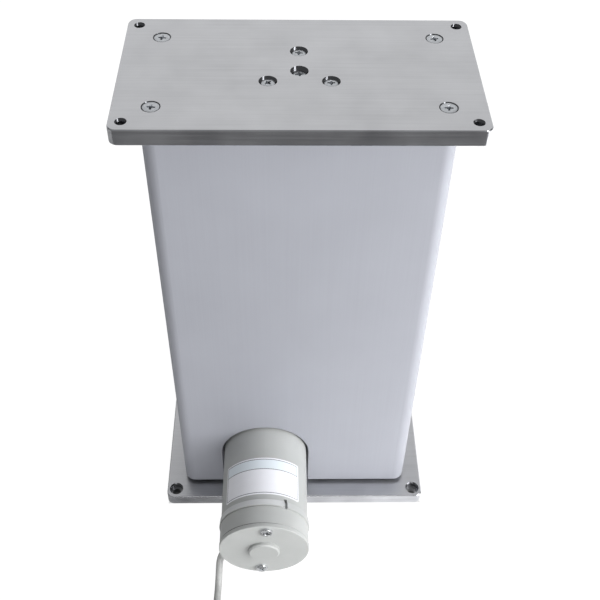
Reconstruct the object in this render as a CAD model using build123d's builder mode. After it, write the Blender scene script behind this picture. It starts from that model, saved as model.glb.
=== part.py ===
from build123d import *

import os
from math import acos, cos, degrees, pi, radians, sin, tan

os.makedirs("parts", exist_ok=True)

# Electric lifting column, closed, in millimetres. The origin is on the column axis at the underside of
# the base plate, +Z is up and the motor points to -Y. The base plate, inner tube, gearbox and motor
# stand still. The outer tube and top plate ride up on the nut of the turning spindle.

# Both end plates
PLATE_W = 200.0
PLATE_D = 110.0
PLATE_T = 10.0
PLATE_CORNER_R = 5.0
PLATE_EDGE = 0.6
MOUNT_INSET_X = 7.0
MOUNT_INSET_Y = 7.5
MOUNT_HOLE_D = 6.4
MOUNT_SINK_D = 10.4
MOUNT_SINK_DEPTH = 5.5

# Stroke and the gaps along the column
STROKE = 200.0
SKIRT_GAP = 3.5
INNER_TOP_GAP = 8.0
NUT_GAP = 6.0
SPINDLE_OVERRUN = 8.0
SPINDLE_TOP_GAP = 4.0

# Outer tube, an aluminium extrusion with a screw port in each corner
OUTER_W = 172.0
OUTER_D = 83.0
OUTER_R = 8.0
OUTER_WALL = 3.0
OUTER_PORT_INSET = 7.25
PORT_R = 4.0
PORT_SLIT = 1.6

# Inner tube, guided inside the outer one by plastic glides
GUIDE_GAP = 3.0
INNER_R = 16.0
INNER_WALL = 3.0
INNER_PORT_INSET = 9.0
GLIDE_W = 7.0
GLIDE_L = 20.0
GLIDE_FROM_PORT = 18.75
GLIDE_SIDE_W = 24.0
GLIDE_LIFT = 3.0
GLIDE_CLEARANCE = 0.15

# Clearances of pressed hubs, of pieces that only seat, of threads and of turning shafts
PRESS = 0.01
SEAT = 0.05
THREAD = 0.05
RUNNING = 0.05
NOTCH_OUTER_GAP = 2.0
NOTCH_INNER_GAP = 1.5

# Screws
PORT_SCREW_D = 5.0
PORT_SCREW_HEAD_D = 9.2
PORT_SCREW_L = 25.0
PORT_SINK_D = 10.5
SINK_GAP = 0.2
FOOT_SCREW_D = 5.0
FOOT_SCREW_HEAD_D = 9.5
FOOT_SCREW_L = 16.0
CROWN_SCREW_D = 5.0
CROWN_SCREW_HEAD_D = 8.5
CROWN_SCREW_HEAD_H = 3.2
CROWN_SCREW_L = 12.0
CROWN_PCD = 40.0
CROWN_SINK_D = 10.3
CROWN_SINK_DEPTH = 4.9
CENTRE_SCREW_D = 6.0
CENTRE_SCREW_HEAD_D = 9.0
CENTRE_SCREW_HEAD_H = 2.5
CENTRE_SCREW_L = 10.0
CENTRE_SINK_DEPTH = 5.8

# Worm drive: a single start right-hand worm beside a helical wheel
MODULE = 1.5
WHEEL_TEETH = 22
WORM_PITCH_D = 12.0
PRESSURE_ANGLE = 20.0
BACKLASH = 0.3
ROOT_GAP = 0.25
WHEEL_FACE = 9.0
WHEEL_HUB_D = 26.0
WHEEL_NECK_D = 22.6
WHEEL_HUB_HALF = 10.0
WORM_HALF_TURNS = 2
WORM_END = 1.0
KEY_W = 5.0
KEY_L = 14.0
KEY_DEPTH = 3.0
KEY_PROUD = 2.0

# Spindle and its bearings
SPINDLE_D = 16.0
JOURNAL_D = 12.0
WHEEL_SEAT_D = 17.0
SHOULDER_D = 20.0
SHOULDER_H = 8.0
COLLAR_D = 23.0
COLLAR_H = 4.0
JOURNAL_TAIL = 4.0
LOWER_BEARING_D = 32.0
LOWER_BEARING_W = 10.0
UPPER_BEARING_D = 35.0
UPPER_BEARING_W = 10.0
BEARING_RACE = 3.2
BEARING_SHIELD_GAP = 0.4
BEARING_SHIELD_INSET = 0.8
RETAINER_T = 1.2
RETAINER_D = 18.0
STOP_WASHER_D = 20.0
STOP_WASHER_T = 3.0
STOP_SCREW_D = 5.0
STOP_SCREW_HEAD_D = 8.5
STOP_SCREW_HEAD_H = 3.0
STOP_SCREW_L = 12.0

# Nut, push tube and thrust collar
NUT_FLANGE_T = 4.0
NUT_L = 30.0
PUSH_TUBE_D = 28.0
PUSH_TUBE_WALL = 3.0
PLUG_L = 10.0
THRUST_COLLAR_D = 58.0
THRUST_COLLAR_T = 10.0
NUT_PIN_D = 4.0
NUT_PIN_DEPTH = 1.4
NUT_RUNNING = 0.1

# Gear housing, a casting on the base plate
CHAMBER_GAP = 1.2
CHAMBER_FLOOR_GAP = 2.0
HOUSING_WALL = 5.8
BARREL_R = 15.0
BARREL_ROOF = 1.0
BARREL_RIB_W = 21.0
HOUSING_GAP = 4.5
FOOT_W = 84.0
FOOT_T = 8.0
FOOT_R = 6.0
FOOT_SCREW_INSET = 7.0
TAP_RUNOUT = 1.0
SPINDLE_PIT_R = 11.0
WORM_GAP = 1.0
COVER_PLATE_T = 5.0
COVER_LEDGE = 2.0
COVER_LIP = 4.0
COVER_HUB_WALL = 4.5
COVER_SCREW_D = 4.0
COVER_SCREW_HEAD_D = 7.0
COVER_SCREW_HEAD_H = 3.0
COVER_SCREW_L = 13.0

# Motor, along its axis from the spindle axis outwards
MOTOR_Z = 50.0
MOTOR_R = 31.0
YOKE_WALL = 2.5
FLANGE_T = 6.0
FLANGE_REGISTER = 4.0
FLANGE_RING_WALL = 5.9
FLANGE_HUB_R = 11.0
FLANGE_HUB_L = 6.0
SPIGOT_R = 10.0
SPIGOT_L = 4.0
FLANGE_SCREW_D = 4.0
FLANGE_SCREW_HEAD_D = 7.0
FLANGE_SCREW_HEAD_H = 3.0
FLANGE_SCREW_L = 16.0
FLANGE_PCD = 30.0
YOKE_L = 67.0
CAP_R = 31.35
CAP_L = 18.5
CAP_LIP_R = 32.1
CAP_LIP_BACK_R = 31.7
CAP_LIP_L = 5.0
CAP_SEAM = 0.4
CAP_WALL = 3.75
CAP_SPIGOT = 3.0
COVER_T = 3.2
COVER_R = 31.6
COVER_EDGE = 0.35
BOSS_R = 11.0
BOSS_H = 3.0
BOSS_EDGE = 1.0
TIE_PCD = 50.4
TIE_TILT = 4.5
TIE_SCREW_D = 4.0
TIE_SCREW_HEAD_D = 8.9
TIE_SCREW_HEAD_H = 2.6
TIE_THREAD_L = 4.0
TAB_W = 2.6
TAB_L = 5.4
TAB_DEPTH = 1.6
TAB_ANGLE = 61.0
TAB_NOTCH_L = 2.4

# Inside the motor
SHAFT_D = 8.0
WORM_SHAFT_D = 5.0
SHAFT_BEHIND = 2.5
BUSH_WALL = 2.95
WORM_BUSH_L = 7.0
WORM_BUSH_GAP = 2.0
WORM_BUSH_WALL = 2.5
REAR_BUSH_L = 9.5
REAR_SEAT_WALL = 3.0
MAGNET_T = 5.1
MAGNET_L = 44.0
MAGNET_ARC = 120.0
MAGNET_START = 14.0
AIR_GAP = 1.0
CORE_L = 38.0
CORE_START = 16.0
SLOTS = 12
SLOT_W = 2.2
SLOT_DEPTH = 8.0
WIRE_GAP = 0.25
WINDING_INNER_R = 9.0
WINDING_OUTER_R = 19.0
WINDING_L = 6.0
COMMUTATOR_R = 9.5
COMMUTATOR_L = 12.0
COMMUTATOR_GAP = 2.0
COMMUTATOR_SLIT = 0.6
COMMUTATOR_SLIT_DEPTH = 1.2
CARD_T = 2.0
CARD_HOLE_GAP = 0.5
CARD_FROM_COVER = 9.0
BRUSH_W = 5.8
BRUSH_L = 10.4
BRUSH_GAP = 0.1
BRUSH_SPRING_R = 2.0
BRUSH_SPRING_L = 4.5
BRUSH_BOX_WALL = 1.0
BRUSH_BOX_START = 2.5

# Limit sensing along the back wall of the inner tube
BOARD_W = 14.0
BOARD_T = 1.6
BOARD_MARGIN = 14.0
SENSOR_W = 6.0
SENSOR_T = 4.0
SENSOR_L = 14.0
MAGNET_GAP = 1.5
SENSOR_MAGNET_T = 4.0
SENSOR_MAGNET_W = 6.0
MAGNET_PROUD = 0.5
HOLDER_WALL = 4.0
HOLDER_H = 10.0
HOLDER_ABOVE = 3.0

# Motor cable
CABLE_D = 5.0
GROMMET_R = 3.6
GROMMET_PROUD = 0.5
GROMMET_SEAT_ANGLE = 205.0
GROMMET_AIM = 250.0
GROMMET_FROM_COVER = 4.2
CABLE_INSIDE = 6.0
CABLE_STRAIGHT = 8.0
CABLE_BEND_SHARE = 0.45
TIE_BAND_T = 0.8
TIE_BAND_W = 4.0
TIE_CLEARANCE = 0.15
COIL_X = -24.5
COIL_Y = -183.0
COIL_R = 27.3
COIL_HALF_WIDTH = 9.0
COIL_LAYERS = 2
COIL_LEAVE_ANGLE = 300.0
PLUG_TAIL_R = 3.2
PLUG_TAIL_L = 12.0
PLUG_TAIL_FLARE = 1.0
PLUG_BODY_R = 6.5
PLUG_BODY_L = 22.0
PLUG_SHELL_R = 5.6
PLUG_SHELL_WALL = 0.8
PLUG_SHELL_L = 8.0
PLUG_PIN_D = 1.6
PLUG_PIN_PCD = 5.6
PLUG_PINS = 4
PLUG_PIN_L = 6.5
PLUG_START = 30.0

# Worm drive geometry
PITCH = pi * MODULE
WORM_PITCH_R = WORM_PITCH_D / 2
WORM_TIP_R = WORM_PITCH_R + MODULE
WORM_ROOT_R = WORM_PITCH_R - MODULE * (1 + ROOT_GAP)
WHEEL_PITCH_R = MODULE * WHEEL_TEETH / 2
WHEEL_TIP_R = WHEEL_PITCH_R + MODULE
WHEEL_ROOT_R = WHEEL_PITCH_R - MODULE * (1 + ROOT_GAP)
WHEEL_BASE_R = WHEEL_PITCH_R * cos(radians(PRESSURE_ANGLE))
MOTOR_X = -(WHEEL_PITCH_R + WORM_PITCH_R)
WORM_TURNS = 2 * WORM_HALF_TURNS + 0.5
WORM_L = (WORM_TURNS + WORM_END) * PITCH

# Heights of the drive and of the column's top
WHEEL_BOTTOM = MOTOR_Z - WHEEL_HUB_HALF
WHEEL_TOP = MOTOR_Z + WHEEL_HUB_HALF
LOWER_BEARING_TOP = WHEEL_BOTTOM - SHOULDER_H
LOWER_BEARING_Z = LOWER_BEARING_TOP - LOWER_BEARING_W
CHAMBER_FLOOR = WHEEL_BOTTOM - CHAMBER_FLOOR_GAP
HOUSING_TOP = MOTOR_Z + BARREL_R + BARREL_ROOF
UPPER_BEARING_Z = HOUSING_TOP + COVER_LEDGE
UPPER_BEARING_TOP = UPPER_BEARING_Z + UPPER_BEARING_W
COVER_TOP = UPPER_BEARING_TOP + COVER_LIP
NUT_Z = max(COVER_TOP, UPPER_BEARING_TOP + COLLAR_H) + NUT_GAP
PUSH_TUBE_Z = NUT_Z + NUT_FLANGE_T
NUT_TOP = PUSH_TUBE_Z + NUT_L
SPINDLE_TOP = NUT_TOP + STROKE + SPINDLE_OVERRUN
STOP_TOP = SPINDLE_TOP + STOP_WASHER_T + STOP_SCREW_HEAD_H
TOP_Z = STOP_TOP + SPINDLE_TOP_GAP + PLUG_L
COLUMN_H = TOP_Z + PLATE_T

# The two tubes
OUTER_Z = PLATE_T + SKIRT_GAP
OUTER_PORT_X = OUTER_W / 2 - OUTER_PORT_INSET
OUTER_PORT_Y = OUTER_D / 2 - OUTER_PORT_INSET
INNER_W = OUTER_W - 2 * (OUTER_WALL + GUIDE_GAP)
INNER_D = OUTER_D - 2 * (OUTER_WALL + GUIDE_GAP)
INNER_TOP = TOP_Z - INNER_TOP_GAP
INNER_PORT_X = INNER_W / 2 - INNER_PORT_INSET
INNER_PORT_Y = INNER_D / 2 - INNER_PORT_INSET
PORT_HOLE_R = PORT_SCREW_D / 2 + THREAD
PORT_HEAD_SUNK = (PORT_SINK_D - PORT_SCREW_HEAD_D) / 2 - SEAT
GLIDE_X = OUTER_PORT_X - GLIDE_FROM_PORT

# The mounting holes and the footprint of the gear housing inside the inner tube
MOUNT_SPACING_X = PLATE_W - 2 * MOUNT_INSET_X
MOUNT_SPACING_Y = PLATE_D - 2 * MOUNT_INSET_Y
HOUSING_R = WHEEL_TIP_R + CHAMBER_GAP + HOUSING_WALL
HOUSING_HALF_D = max(INNER_D / 2 - INNER_WALL - HOUSING_GAP, HOUSING_R)
FOOT_D = 2 * HOUSING_HALF_D
FOOT_SPACING_X = FOOT_W - 2 * FOOT_SCREW_INSET
FOOT_SPACING_Y = FOOT_D - 2 * FOOT_SCREW_INSET

# Stations along the motor axis, as distances from the spindle axis
YOKE_S = HOUSING_HALF_D + FLANGE_T
CAP_S = YOKE_S + YOKE_L
COVER_S = CAP_S + CAP_L
FACE_S = COVER_S + COVER_T
BOSS_S = FACE_S + BOSS_H
YOKE_BORE_R = MOTOR_R - YOKE_WALL
CAP_BORE_R = CAP_R - CAP_WALL
ROTOR_R = YOKE_BORE_R - SEAT - MAGNET_T - AIR_GAP
CORE_S = YOKE_S + CORE_START
CORE_END_S = CORE_S + CORE_L
COMMUTATOR_S = CORE_END_S + WINDING_L + COMMUTATOR_GAP
CARD_S = COVER_S - CARD_FROM_COVER
TIE_R = TIE_PCD / 2
REAR_SEAT_R = SHAFT_D / 2 + RUNNING + BUSH_WALL + SEAT
REAR_BUSH_S = COVER_S + COVER_T / 2 - REAR_BUSH_L
WORM_BUSH_S = -(WORM_L / 2 + WORM_BUSH_GAP)
WORM_BUSH_R = WORM_SHAFT_D / 2 + RUNNING + WORM_BUSH_WALL

MOTOR_AXIS = Axis((MOTOR_X, 0, MOTOR_Z), (0, -1, 0))
MOTOR_HALF = Plane(origin=(MOTOR_X, 0, MOTOR_Z), x_dir=(0, -1, 0), z_dir=(-1, 0, 0))
UP = (Align.CENTER, Align.CENTER, Align.MIN)
DOWN = (Align.CENTER, Align.CENTER, Align.MAX)


def across_motor(s):
    """The plane across the motor axis at distance s from the spindle axis, X right and Y up."""
    return Plane(origin=(MOTOR_X, -s, MOTOR_Z), x_dir=(1, 0, 0), z_dir=(0, -1, 0))


def turned(points, plane, axis):
    """Revolve a closed outline, given as (along, radius) points, about an axis of the open part."""
    with BuildSketch(plane) as outline:
        with BuildLine():
            Polyline(*points, close=True)
        make_face()
    revolve(outline.sketch, axis=axis)


def motor_turned(points):
    """Revolve an outline of (distance from the spindle axis, radius) points about the motor axis."""
    turned(points, MOTOR_HALF, MOTOR_AXIS)


def column_turned(points):
    """Revolve an outline of (radius, height) points about the column axis."""
    turned(points, Plane.XZ, Axis.Z)


def sleeve(inner_r, outer_r, z_low, z_high):
    """A plain ring about the column axis."""
    column_turned([(inner_r, z_low), (outer_r, z_low), (outer_r, z_high), (inner_r, z_high)])


def motor_sleeve(inner_r, outer_r, s_low, s_high):
    """A plain ring about the motor axis."""
    motor_turned([(s_low, inner_r), (s_low, outer_r), (s_high, outer_r), (s_high, inner_r)])


def countersunk_screws(diameter, head_d, length):
    """Countersunk screws with the tops of their heads at the current locations."""
    Cone(diameter / 2, head_d / 2, (head_d - diameter) / 2, align=DOWN)
    Cylinder(diameter / 2, length, align=DOWN)


def cheese_screws(diameter, head_d, head_h, length):
    """Cylinder head screws whose heads sit on the current locations."""
    Cylinder(head_d / 2, head_h, align=UP)
    Cylinder(diameter / 2, length, align=DOWN)


def ring_face(inner_r, outer_r):
    """A flat ring in the open sketch."""
    Circle(outer_r)
    Circle(inner_r, mode=Mode.SUBTRACT)


# End plates

# Base plate: milled aluminium, its four mounting holes sunk on the column side
with BuildPart() as base_plate:
    with BuildSketch():
        RectangleRounded(PLATE_W, PLATE_D, PLATE_CORNER_R)
    extrude(amount=PLATE_T)
    chamfer(base_plate.faces().filter_by(Axis.Z).edges(), PLATE_EDGE)
    with Locations((0, 0, PLATE_T)):
        with GridLocations(MOUNT_SPACING_X, MOUNT_SPACING_Y, 2, 2):
            CounterBoreHole(MOUNT_HOLE_D / 2, MOUNT_SINK_D / 2, MOUNT_SINK_DEPTH)
    with Locations(Location((0, 0, 0), (180, 0, 0))):
        with GridLocations(2 * INNER_PORT_X, 2 * INNER_PORT_Y, 2, 2):
            CounterSinkHole(PORT_SCREW_D / 2 + SINK_GAP, PORT_SINK_D / 2, counter_sink_angle=90)
        with Locations((MOTOR_X / 4, 0)):
            with GridLocations(FOOT_SPACING_X, FOOT_SPACING_Y, 2, 2):
                CounterSinkHole(
                    FOOT_SCREW_D / 2 + SINK_GAP, FOOT_SCREW_HEAD_D / 2 + SINK_GAP, counter_sink_angle=90
                )
base_plate.part.label = "base_plate"
export_step(base_plate.part, "parts/base_plate.step")

# Top plate: the same plate turned over, with the crown of screws that holds the push tube
with BuildPart() as top_plate:
    with BuildSketch(Plane.XY.offset(TOP_Z)):
        RectangleRounded(PLATE_W, PLATE_D, PLATE_CORNER_R)
    extrude(amount=PLATE_T)
    chamfer(top_plate.faces().filter_by(Axis.Z).edges(), PLATE_EDGE)
    with Locations(Location((0, 0, TOP_Z), (180, 0, 0))):
        with GridLocations(MOUNT_SPACING_X, MOUNT_SPACING_Y, 2, 2):
            CounterBoreHole(MOUNT_HOLE_D / 2, MOUNT_SINK_D / 2, MOUNT_SINK_DEPTH)
    with Locations((0, 0, COLUMN_H)):
        with GridLocations(2 * OUTER_PORT_X, 2 * OUTER_PORT_Y, 2, 2):
            CounterSinkHole(PORT_SCREW_D / 2 + SINK_GAP, PORT_SINK_D / 2, counter_sink_angle=90)
        with PolarLocations(CROWN_PCD / 2, 3, start_angle=90):
            CounterBoreHole(CROWN_SCREW_D / 2 + SINK_GAP, CROWN_SINK_D / 2, CROWN_SINK_DEPTH)
        CounterBoreHole(CENTRE_SCREW_D / 2 + SINK_GAP, CROWN_SINK_D / 2, CENTRE_SINK_DEPTH)
top_plate.part.label = "top_plate"
export_step(top_plate.part, "parts/top_plate.step")

with BuildPart() as base_plate_screws:
    with Locations(Location((0, 0, PORT_HEAD_SUNK), (180, 0, 0))):
        with GridLocations(2 * INNER_PORT_X, 2 * INNER_PORT_Y, 2, 2):
            countersunk_screws(PORT_SCREW_D, PORT_SCREW_HEAD_D, PORT_SCREW_L)
base_plate_screws.part.label = "base_plate_screws"
export_step(base_plate_screws.part, "parts/base_plate_screws.step")

with BuildPart() as top_plate_screws:
    with Locations((0, 0, COLUMN_H - PORT_HEAD_SUNK)):
        with GridLocations(2 * OUTER_PORT_X, 2 * OUTER_PORT_Y, 2, 2):
            countersunk_screws(PORT_SCREW_D, PORT_SCREW_HEAD_D, PORT_SCREW_L)
top_plate_screws.part.label = "top_plate_screws"
export_step(top_plate_screws.part, "parts/top_plate_screws.step")


# Telescopic tubes


def port_slits(port_x, port_y):
    """The tapping hole of each corner port and the slit that opens it towards the tube's middle."""
    for x_side in (-1, 1):
        for y_side in (-1, 1):
            with Locations((x_side * port_x, y_side * port_y)):
                Circle(PORT_HOLE_R, mode=Mode.SUBTRACT)
            with Locations((x_side * (port_x - PORT_R), y_side * port_y)):
                Rectangle(2 * PORT_R, PORT_SLIT, mode=Mode.SUBTRACT)


def motor_notch(depth, wall, gap):
    """Cut the arch that the motor passes through in the front wall of a tube of this depth."""
    with BuildSketch(across_motor(depth / 2 - 2 * wall)) as arch:
        Circle(MOTOR_R + gap)
        Rectangle(2 * (MOTOR_R + gap), 2 * MOTOR_Z, align=(Align.CENTER, Align.MAX))
    extrude(arch.sketch, amount=3 * wall, mode=Mode.SUBTRACT)


with BuildPart() as outer_tube:
    with BuildSketch(Plane.XY.offset(OUTER_Z)):
        RectangleRounded(OUTER_W, OUTER_D, OUTER_R)
        RectangleRounded(
            OUTER_W - 2 * OUTER_WALL, OUTER_D - 2 * OUTER_WALL, OUTER_R - OUTER_WALL, mode=Mode.SUBTRACT
        )
        with GridLocations(2 * OUTER_PORT_X, 2 * OUTER_PORT_Y, 2, 2):
            Circle(PORT_R)
        port_fill = OUTER_PORT_INSET - OUTER_WALL
        with GridLocations(2 * OUTER_PORT_X + port_fill, 2 * OUTER_PORT_Y + port_fill, 2, 2):
            Rectangle(port_fill, port_fill)
        port_slits(OUTER_PORT_X, OUTER_PORT_Y)
    extrude(amount=TOP_Z - OUTER_Z)
    motor_notch(OUTER_D, OUTER_WALL, NOTCH_OUTER_GAP)
outer_tube.part.label = "outer_tube"
export_step(outer_tube.part, "parts/outer_tube.step")

with BuildPart() as inner_tube:
    with BuildSketch(Plane.XY.offset(PLATE_T)):
        RectangleRounded(INNER_W, INNER_D, INNER_R)
        RectangleRounded(
            INNER_W - 2 * INNER_WALL, INNER_D - 2 * INNER_WALL, INNER_R - INNER_WALL, mode=Mode.SUBTRACT
        )
        with GridLocations(2 * INNER_PORT_X, 2 * INNER_PORT_Y, 2, 2):
            Circle(PORT_R)
        port_slits(INNER_PORT_X, INNER_PORT_Y)
    extrude(amount=INNER_TOP - PLATE_T)
    motor_notch(INNER_D, INNER_WALL, NOTCH_INNER_GAP)
inner_tube.part.label = "inner_tube"
export_step(inner_tube.part, "parts/inner_tube.step")


# Glides: acetal pads, the upper ones held by the inner tube and the lower ones by the outer tube


PAD_T = GUIDE_GAP - GLIDE_CLEARANCE


def glide_pads(across_w, across_d, z_low, z_front):
    """Six pads in the gap between the tubes, centred on this outline, the front pair at its own height."""
    for y_side, height in ((-1, z_front), (1, z_low)):
        with Locations((0, y_side * across_d / 2, height)):
            with GridLocations(2 * GLIDE_X, 0, 2, 1):
                Box(GLIDE_W, PAD_T, GLIDE_L, align=UP)
    with Locations((0, 0, z_low)):
        with GridLocations(across_w, 0, 2, 1):
            Box(PAD_T, GLIDE_SIDE_W, GLIDE_L, align=UP)


with BuildPart() as upper_glides:
    pads_z = INNER_TOP - GLIDE_L
    glide_pads(INNER_W + PAD_T, INNER_D + PAD_T, pads_z, pads_z)
upper_glides.part.label = "upper_glides"
export_step(upper_glides.part, "parts/upper_glides.step")

# The lower front pads sit above the motor's arch
with BuildPart() as lower_glides:
    inside_w = OUTER_W - 2 * OUTER_WALL
    inside_d = OUTER_D - 2 * OUTER_WALL
    arch_top = MOTOR_Z + MOTOR_R + NOTCH_OUTER_GAP
    glide_pads(inside_w - PAD_T, inside_d - PAD_T, OUTER_Z + GLIDE_LIFT, arch_top + GLIDE_LIFT)
lower_glides.part.label = "lower_glides"
export_step(lower_glides.part, "parts/lower_glides.step")


# Gear housing

COVER_SCREW_R = HOUSING_R - HOUSING_WALL / 2

with BuildPart() as gear_housing:
    with BuildSketch(Plane.XY.offset(PLATE_T)):
        with Locations((MOTOR_X / 4, 0)):
            RectangleRounded(FOOT_W, FOOT_D, FOOT_R)
    extrude(amount=FOOT_T)
    with BuildSketch(Plane.XY.offset(PLATE_T)):
        Circle(HOUSING_R)
    extrude(amount=HOUSING_TOP - PLATE_T)
    with BuildSketch(Plane.XY.offset(PLATE_T)):
        with Locations((MOTOR_X, 0)):
            Rectangle(BARREL_RIB_W, FOOT_D - 2 * FOOT_R)
    extrude(amount=MOTOR_Z - PLATE_T)
    motor_sleeve(0, BARREL_R, -HOUSING_HALF_D, HOUSING_HALF_D)
    with BuildSketch(across_motor(HOUSING_HALF_D - FOOT_T)):
        RectangleRounded(2 * (HOUSING_TOP - MOTOR_Z), 2 * (HOUSING_TOP - MOTOR_Z), FOOT_R)
    extrude(amount=FOOT_T)
    with BuildSketch(Plane.XY.offset(CHAMBER_FLOOR)):
        Circle(WHEEL_TIP_R + CHAMBER_GAP)
    extrude(amount=HOUSING_TOP + BARREL_R - CHAMBER_FLOOR, mode=Mode.SUBTRACT)
    with BuildSketch(Plane.XY.offset(LOWER_BEARING_Z)):
        Circle(LOWER_BEARING_D / 2 + SEAT)
    extrude(amount=CHAMBER_FLOOR - LOWER_BEARING_Z, mode=Mode.SUBTRACT)
    with BuildSketch(Plane.XY.offset(LOWER_BEARING_Z)):
        Circle(SPINDLE_PIT_R)
    extrude(amount=-2 * JOURNAL_TAIL, mode=Mode.SUBTRACT)
    with BuildSketch(across_motor(HOUSING_HALF_D)):
        Circle(WORM_TIP_R + WORM_GAP)
    extrude(amount=WORM_BUSH_S - HOUSING_HALF_D, mode=Mode.SUBTRACT)
    with BuildSketch(across_motor(HOUSING_HALF_D)):
        Circle(SPIGOT_R + SEAT)
    extrude(amount=-SPIGOT_L, mode=Mode.SUBTRACT)
    with BuildSketch(across_motor(WORM_BUSH_S)):
        Circle(WORM_BUSH_R + SEAT)
    extrude(amount=-WORM_BUSH_L, mode=Mode.SUBTRACT)
    with BuildSketch(across_motor(HOUSING_HALF_D)):
        with PolarLocations(FLANGE_PCD / 2, 4, start_angle=45):
            Circle(FLANGE_SCREW_D / 2 + THREAD)
    extrude(amount=FLANGE_T - FLANGE_SCREW_L - TAP_RUNOUT, mode=Mode.SUBTRACT)
    with BuildSketch(Plane.XY.offset(HOUSING_TOP)):
        with PolarLocations(COVER_SCREW_R, 4, start_angle=45):
            Circle(COVER_SCREW_D / 2 + THREAD)
    extrude(amount=COVER_PLATE_T - COVER_SCREW_L - TAP_RUNOUT, mode=Mode.SUBTRACT)
    with BuildSketch(Plane.XY.offset(PLATE_T)):
        with Locations((MOTOR_X / 4, 0)):
            with GridLocations(FOOT_SPACING_X, FOOT_SPACING_Y, 2, 2):
                Circle(FOOT_SCREW_D / 2 + THREAD)
    extrude(amount=FOOT_T, mode=Mode.SUBTRACT)
gear_housing.part.label = "gear_housing"
export_step(gear_housing.part, "parts/gear_housing.step")

with BuildPart() as gear_housing_cover:
    hub_r = UPPER_BEARING_D / 2 + SEAT + COVER_HUB_WALL
    column_turned(
        [
            (UPPER_BEARING_D / 2 - COVER_LEDGE, HOUSING_TOP),
            (HOUSING_R, HOUSING_TOP),
            (HOUSING_R, HOUSING_TOP + COVER_PLATE_T),
            (hub_r, HOUSING_TOP + COVER_PLATE_T),
            (hub_r, COVER_TOP),
            (UPPER_BEARING_D / 2 + SEAT, COVER_TOP),
            (UPPER_BEARING_D / 2 + SEAT, UPPER_BEARING_Z),
            (UPPER_BEARING_D / 2 - COVER_LEDGE, UPPER_BEARING_Z),
        ]
    )
    with BuildSketch(Plane.XY.offset(HOUSING_TOP)):
        with PolarLocations(COVER_SCREW_R, 4, start_angle=45):
            Circle(COVER_SCREW_D / 2 + SINK_GAP)
    extrude(amount=COVER_PLATE_T, mode=Mode.SUBTRACT)
    with BuildSketch(Plane.XY.offset(HOUSING_TOP + COVER_PLATE_T)):
        with PolarLocations(COVER_SCREW_R, 4, start_angle=45):
            Circle(COVER_SCREW_HEAD_D / 2 + SINK_GAP)
    extrude(amount=COVER_TOP - HOUSING_TOP, mode=Mode.SUBTRACT)
gear_housing_cover.part.label = "gear_housing_cover"
export_step(gear_housing_cover.part, "parts/gear_housing_cover.step")

with BuildPart() as gear_housing_screws:
    with Locations(Location((MOTOR_X / 4, 0, 0), (180, 0, 0))):
        with GridLocations(FOOT_SPACING_X, FOOT_SPACING_Y, 2, 2):
            countersunk_screws(FOOT_SCREW_D, FOOT_SCREW_HEAD_D, FOOT_SCREW_L)
gear_housing_screws.part.label = "gear_housing_screws"
export_step(gear_housing_screws.part, "parts/gear_housing_screws.step")

with BuildPart() as cover_screws:
    with Locations((0, 0, HOUSING_TOP + COVER_PLATE_T)):
        with PolarLocations(COVER_SCREW_R, 4, start_angle=45):
            cheese_screws(COVER_SCREW_D, COVER_SCREW_HEAD_D, COVER_SCREW_HEAD_H, COVER_SCREW_L)
cover_screws.part.label = "cover_screws"
export_step(cover_screws.part, "parts/cover_screws.step")


# Spindle bearings: shielded ball bearings, each an outer ring with its shields and an inner ring


def bearing_outer(bore_d, outer_d, width, z_low):
    """The outer ring with two shields that reach almost to the inner ring."""
    outer_r = outer_d / 2
    lip_r = bore_d / 2 + BEARING_RACE + BEARING_SHIELD_GAP
    z_high = z_low + width
    column_turned(
        [
            (outer_r, z_low),
            (outer_r, z_high),
            (outer_r - BEARING_RACE, z_high),
            (outer_r - BEARING_RACE, z_high - BEARING_SHIELD_INSET),
            (lip_r, z_high - BEARING_SHIELD_INSET),
            (lip_r, z_low + BEARING_SHIELD_INSET),
            (outer_r - BEARING_RACE, z_low + BEARING_SHIELD_INSET),
            (outer_r - BEARING_RACE, z_low),
        ]
    )


with BuildPart() as lower_bearing_outer:
    bearing_outer(JOURNAL_D, LOWER_BEARING_D, LOWER_BEARING_W, LOWER_BEARING_Z)
lower_bearing_outer.part.label = "lower_bearing_outer"
export_step(lower_bearing_outer.part, "parts/lower_bearing_outer.step")

with BuildPart() as lower_bearing_inner:
    sleeve(JOURNAL_D / 2 + PRESS, JOURNAL_D / 2 + BEARING_RACE, LOWER_BEARING_Z, LOWER_BEARING_TOP)
lower_bearing_inner.part.label = "lower_bearing_inner"
export_step(lower_bearing_inner.part, "parts/lower_bearing_inner.step")

with BuildPart() as upper_bearing_outer:
    bearing_outer(WHEEL_SEAT_D, UPPER_BEARING_D, UPPER_BEARING_W, UPPER_BEARING_Z)
upper_bearing_outer.part.label = "upper_bearing_outer"
export_step(upper_bearing_outer.part, "parts/upper_bearing_outer.step")

with BuildPart() as upper_bearing_inner:
    sleeve(WHEEL_SEAT_D / 2 + PRESS, WHEEL_SEAT_D / 2 + BEARING_RACE, UPPER_BEARING_Z, UPPER_BEARING_TOP)
upper_bearing_inner.part.label = "upper_bearing_inner"
export_step(upper_bearing_inner.part, "parts/upper_bearing_inner.step")


# Spindle

KEY_PLANE = Plane(origin=(0, 0, MOTOR_Z), x_dir=(0, 1, 0), z_dir=(1, 0, 0))

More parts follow.
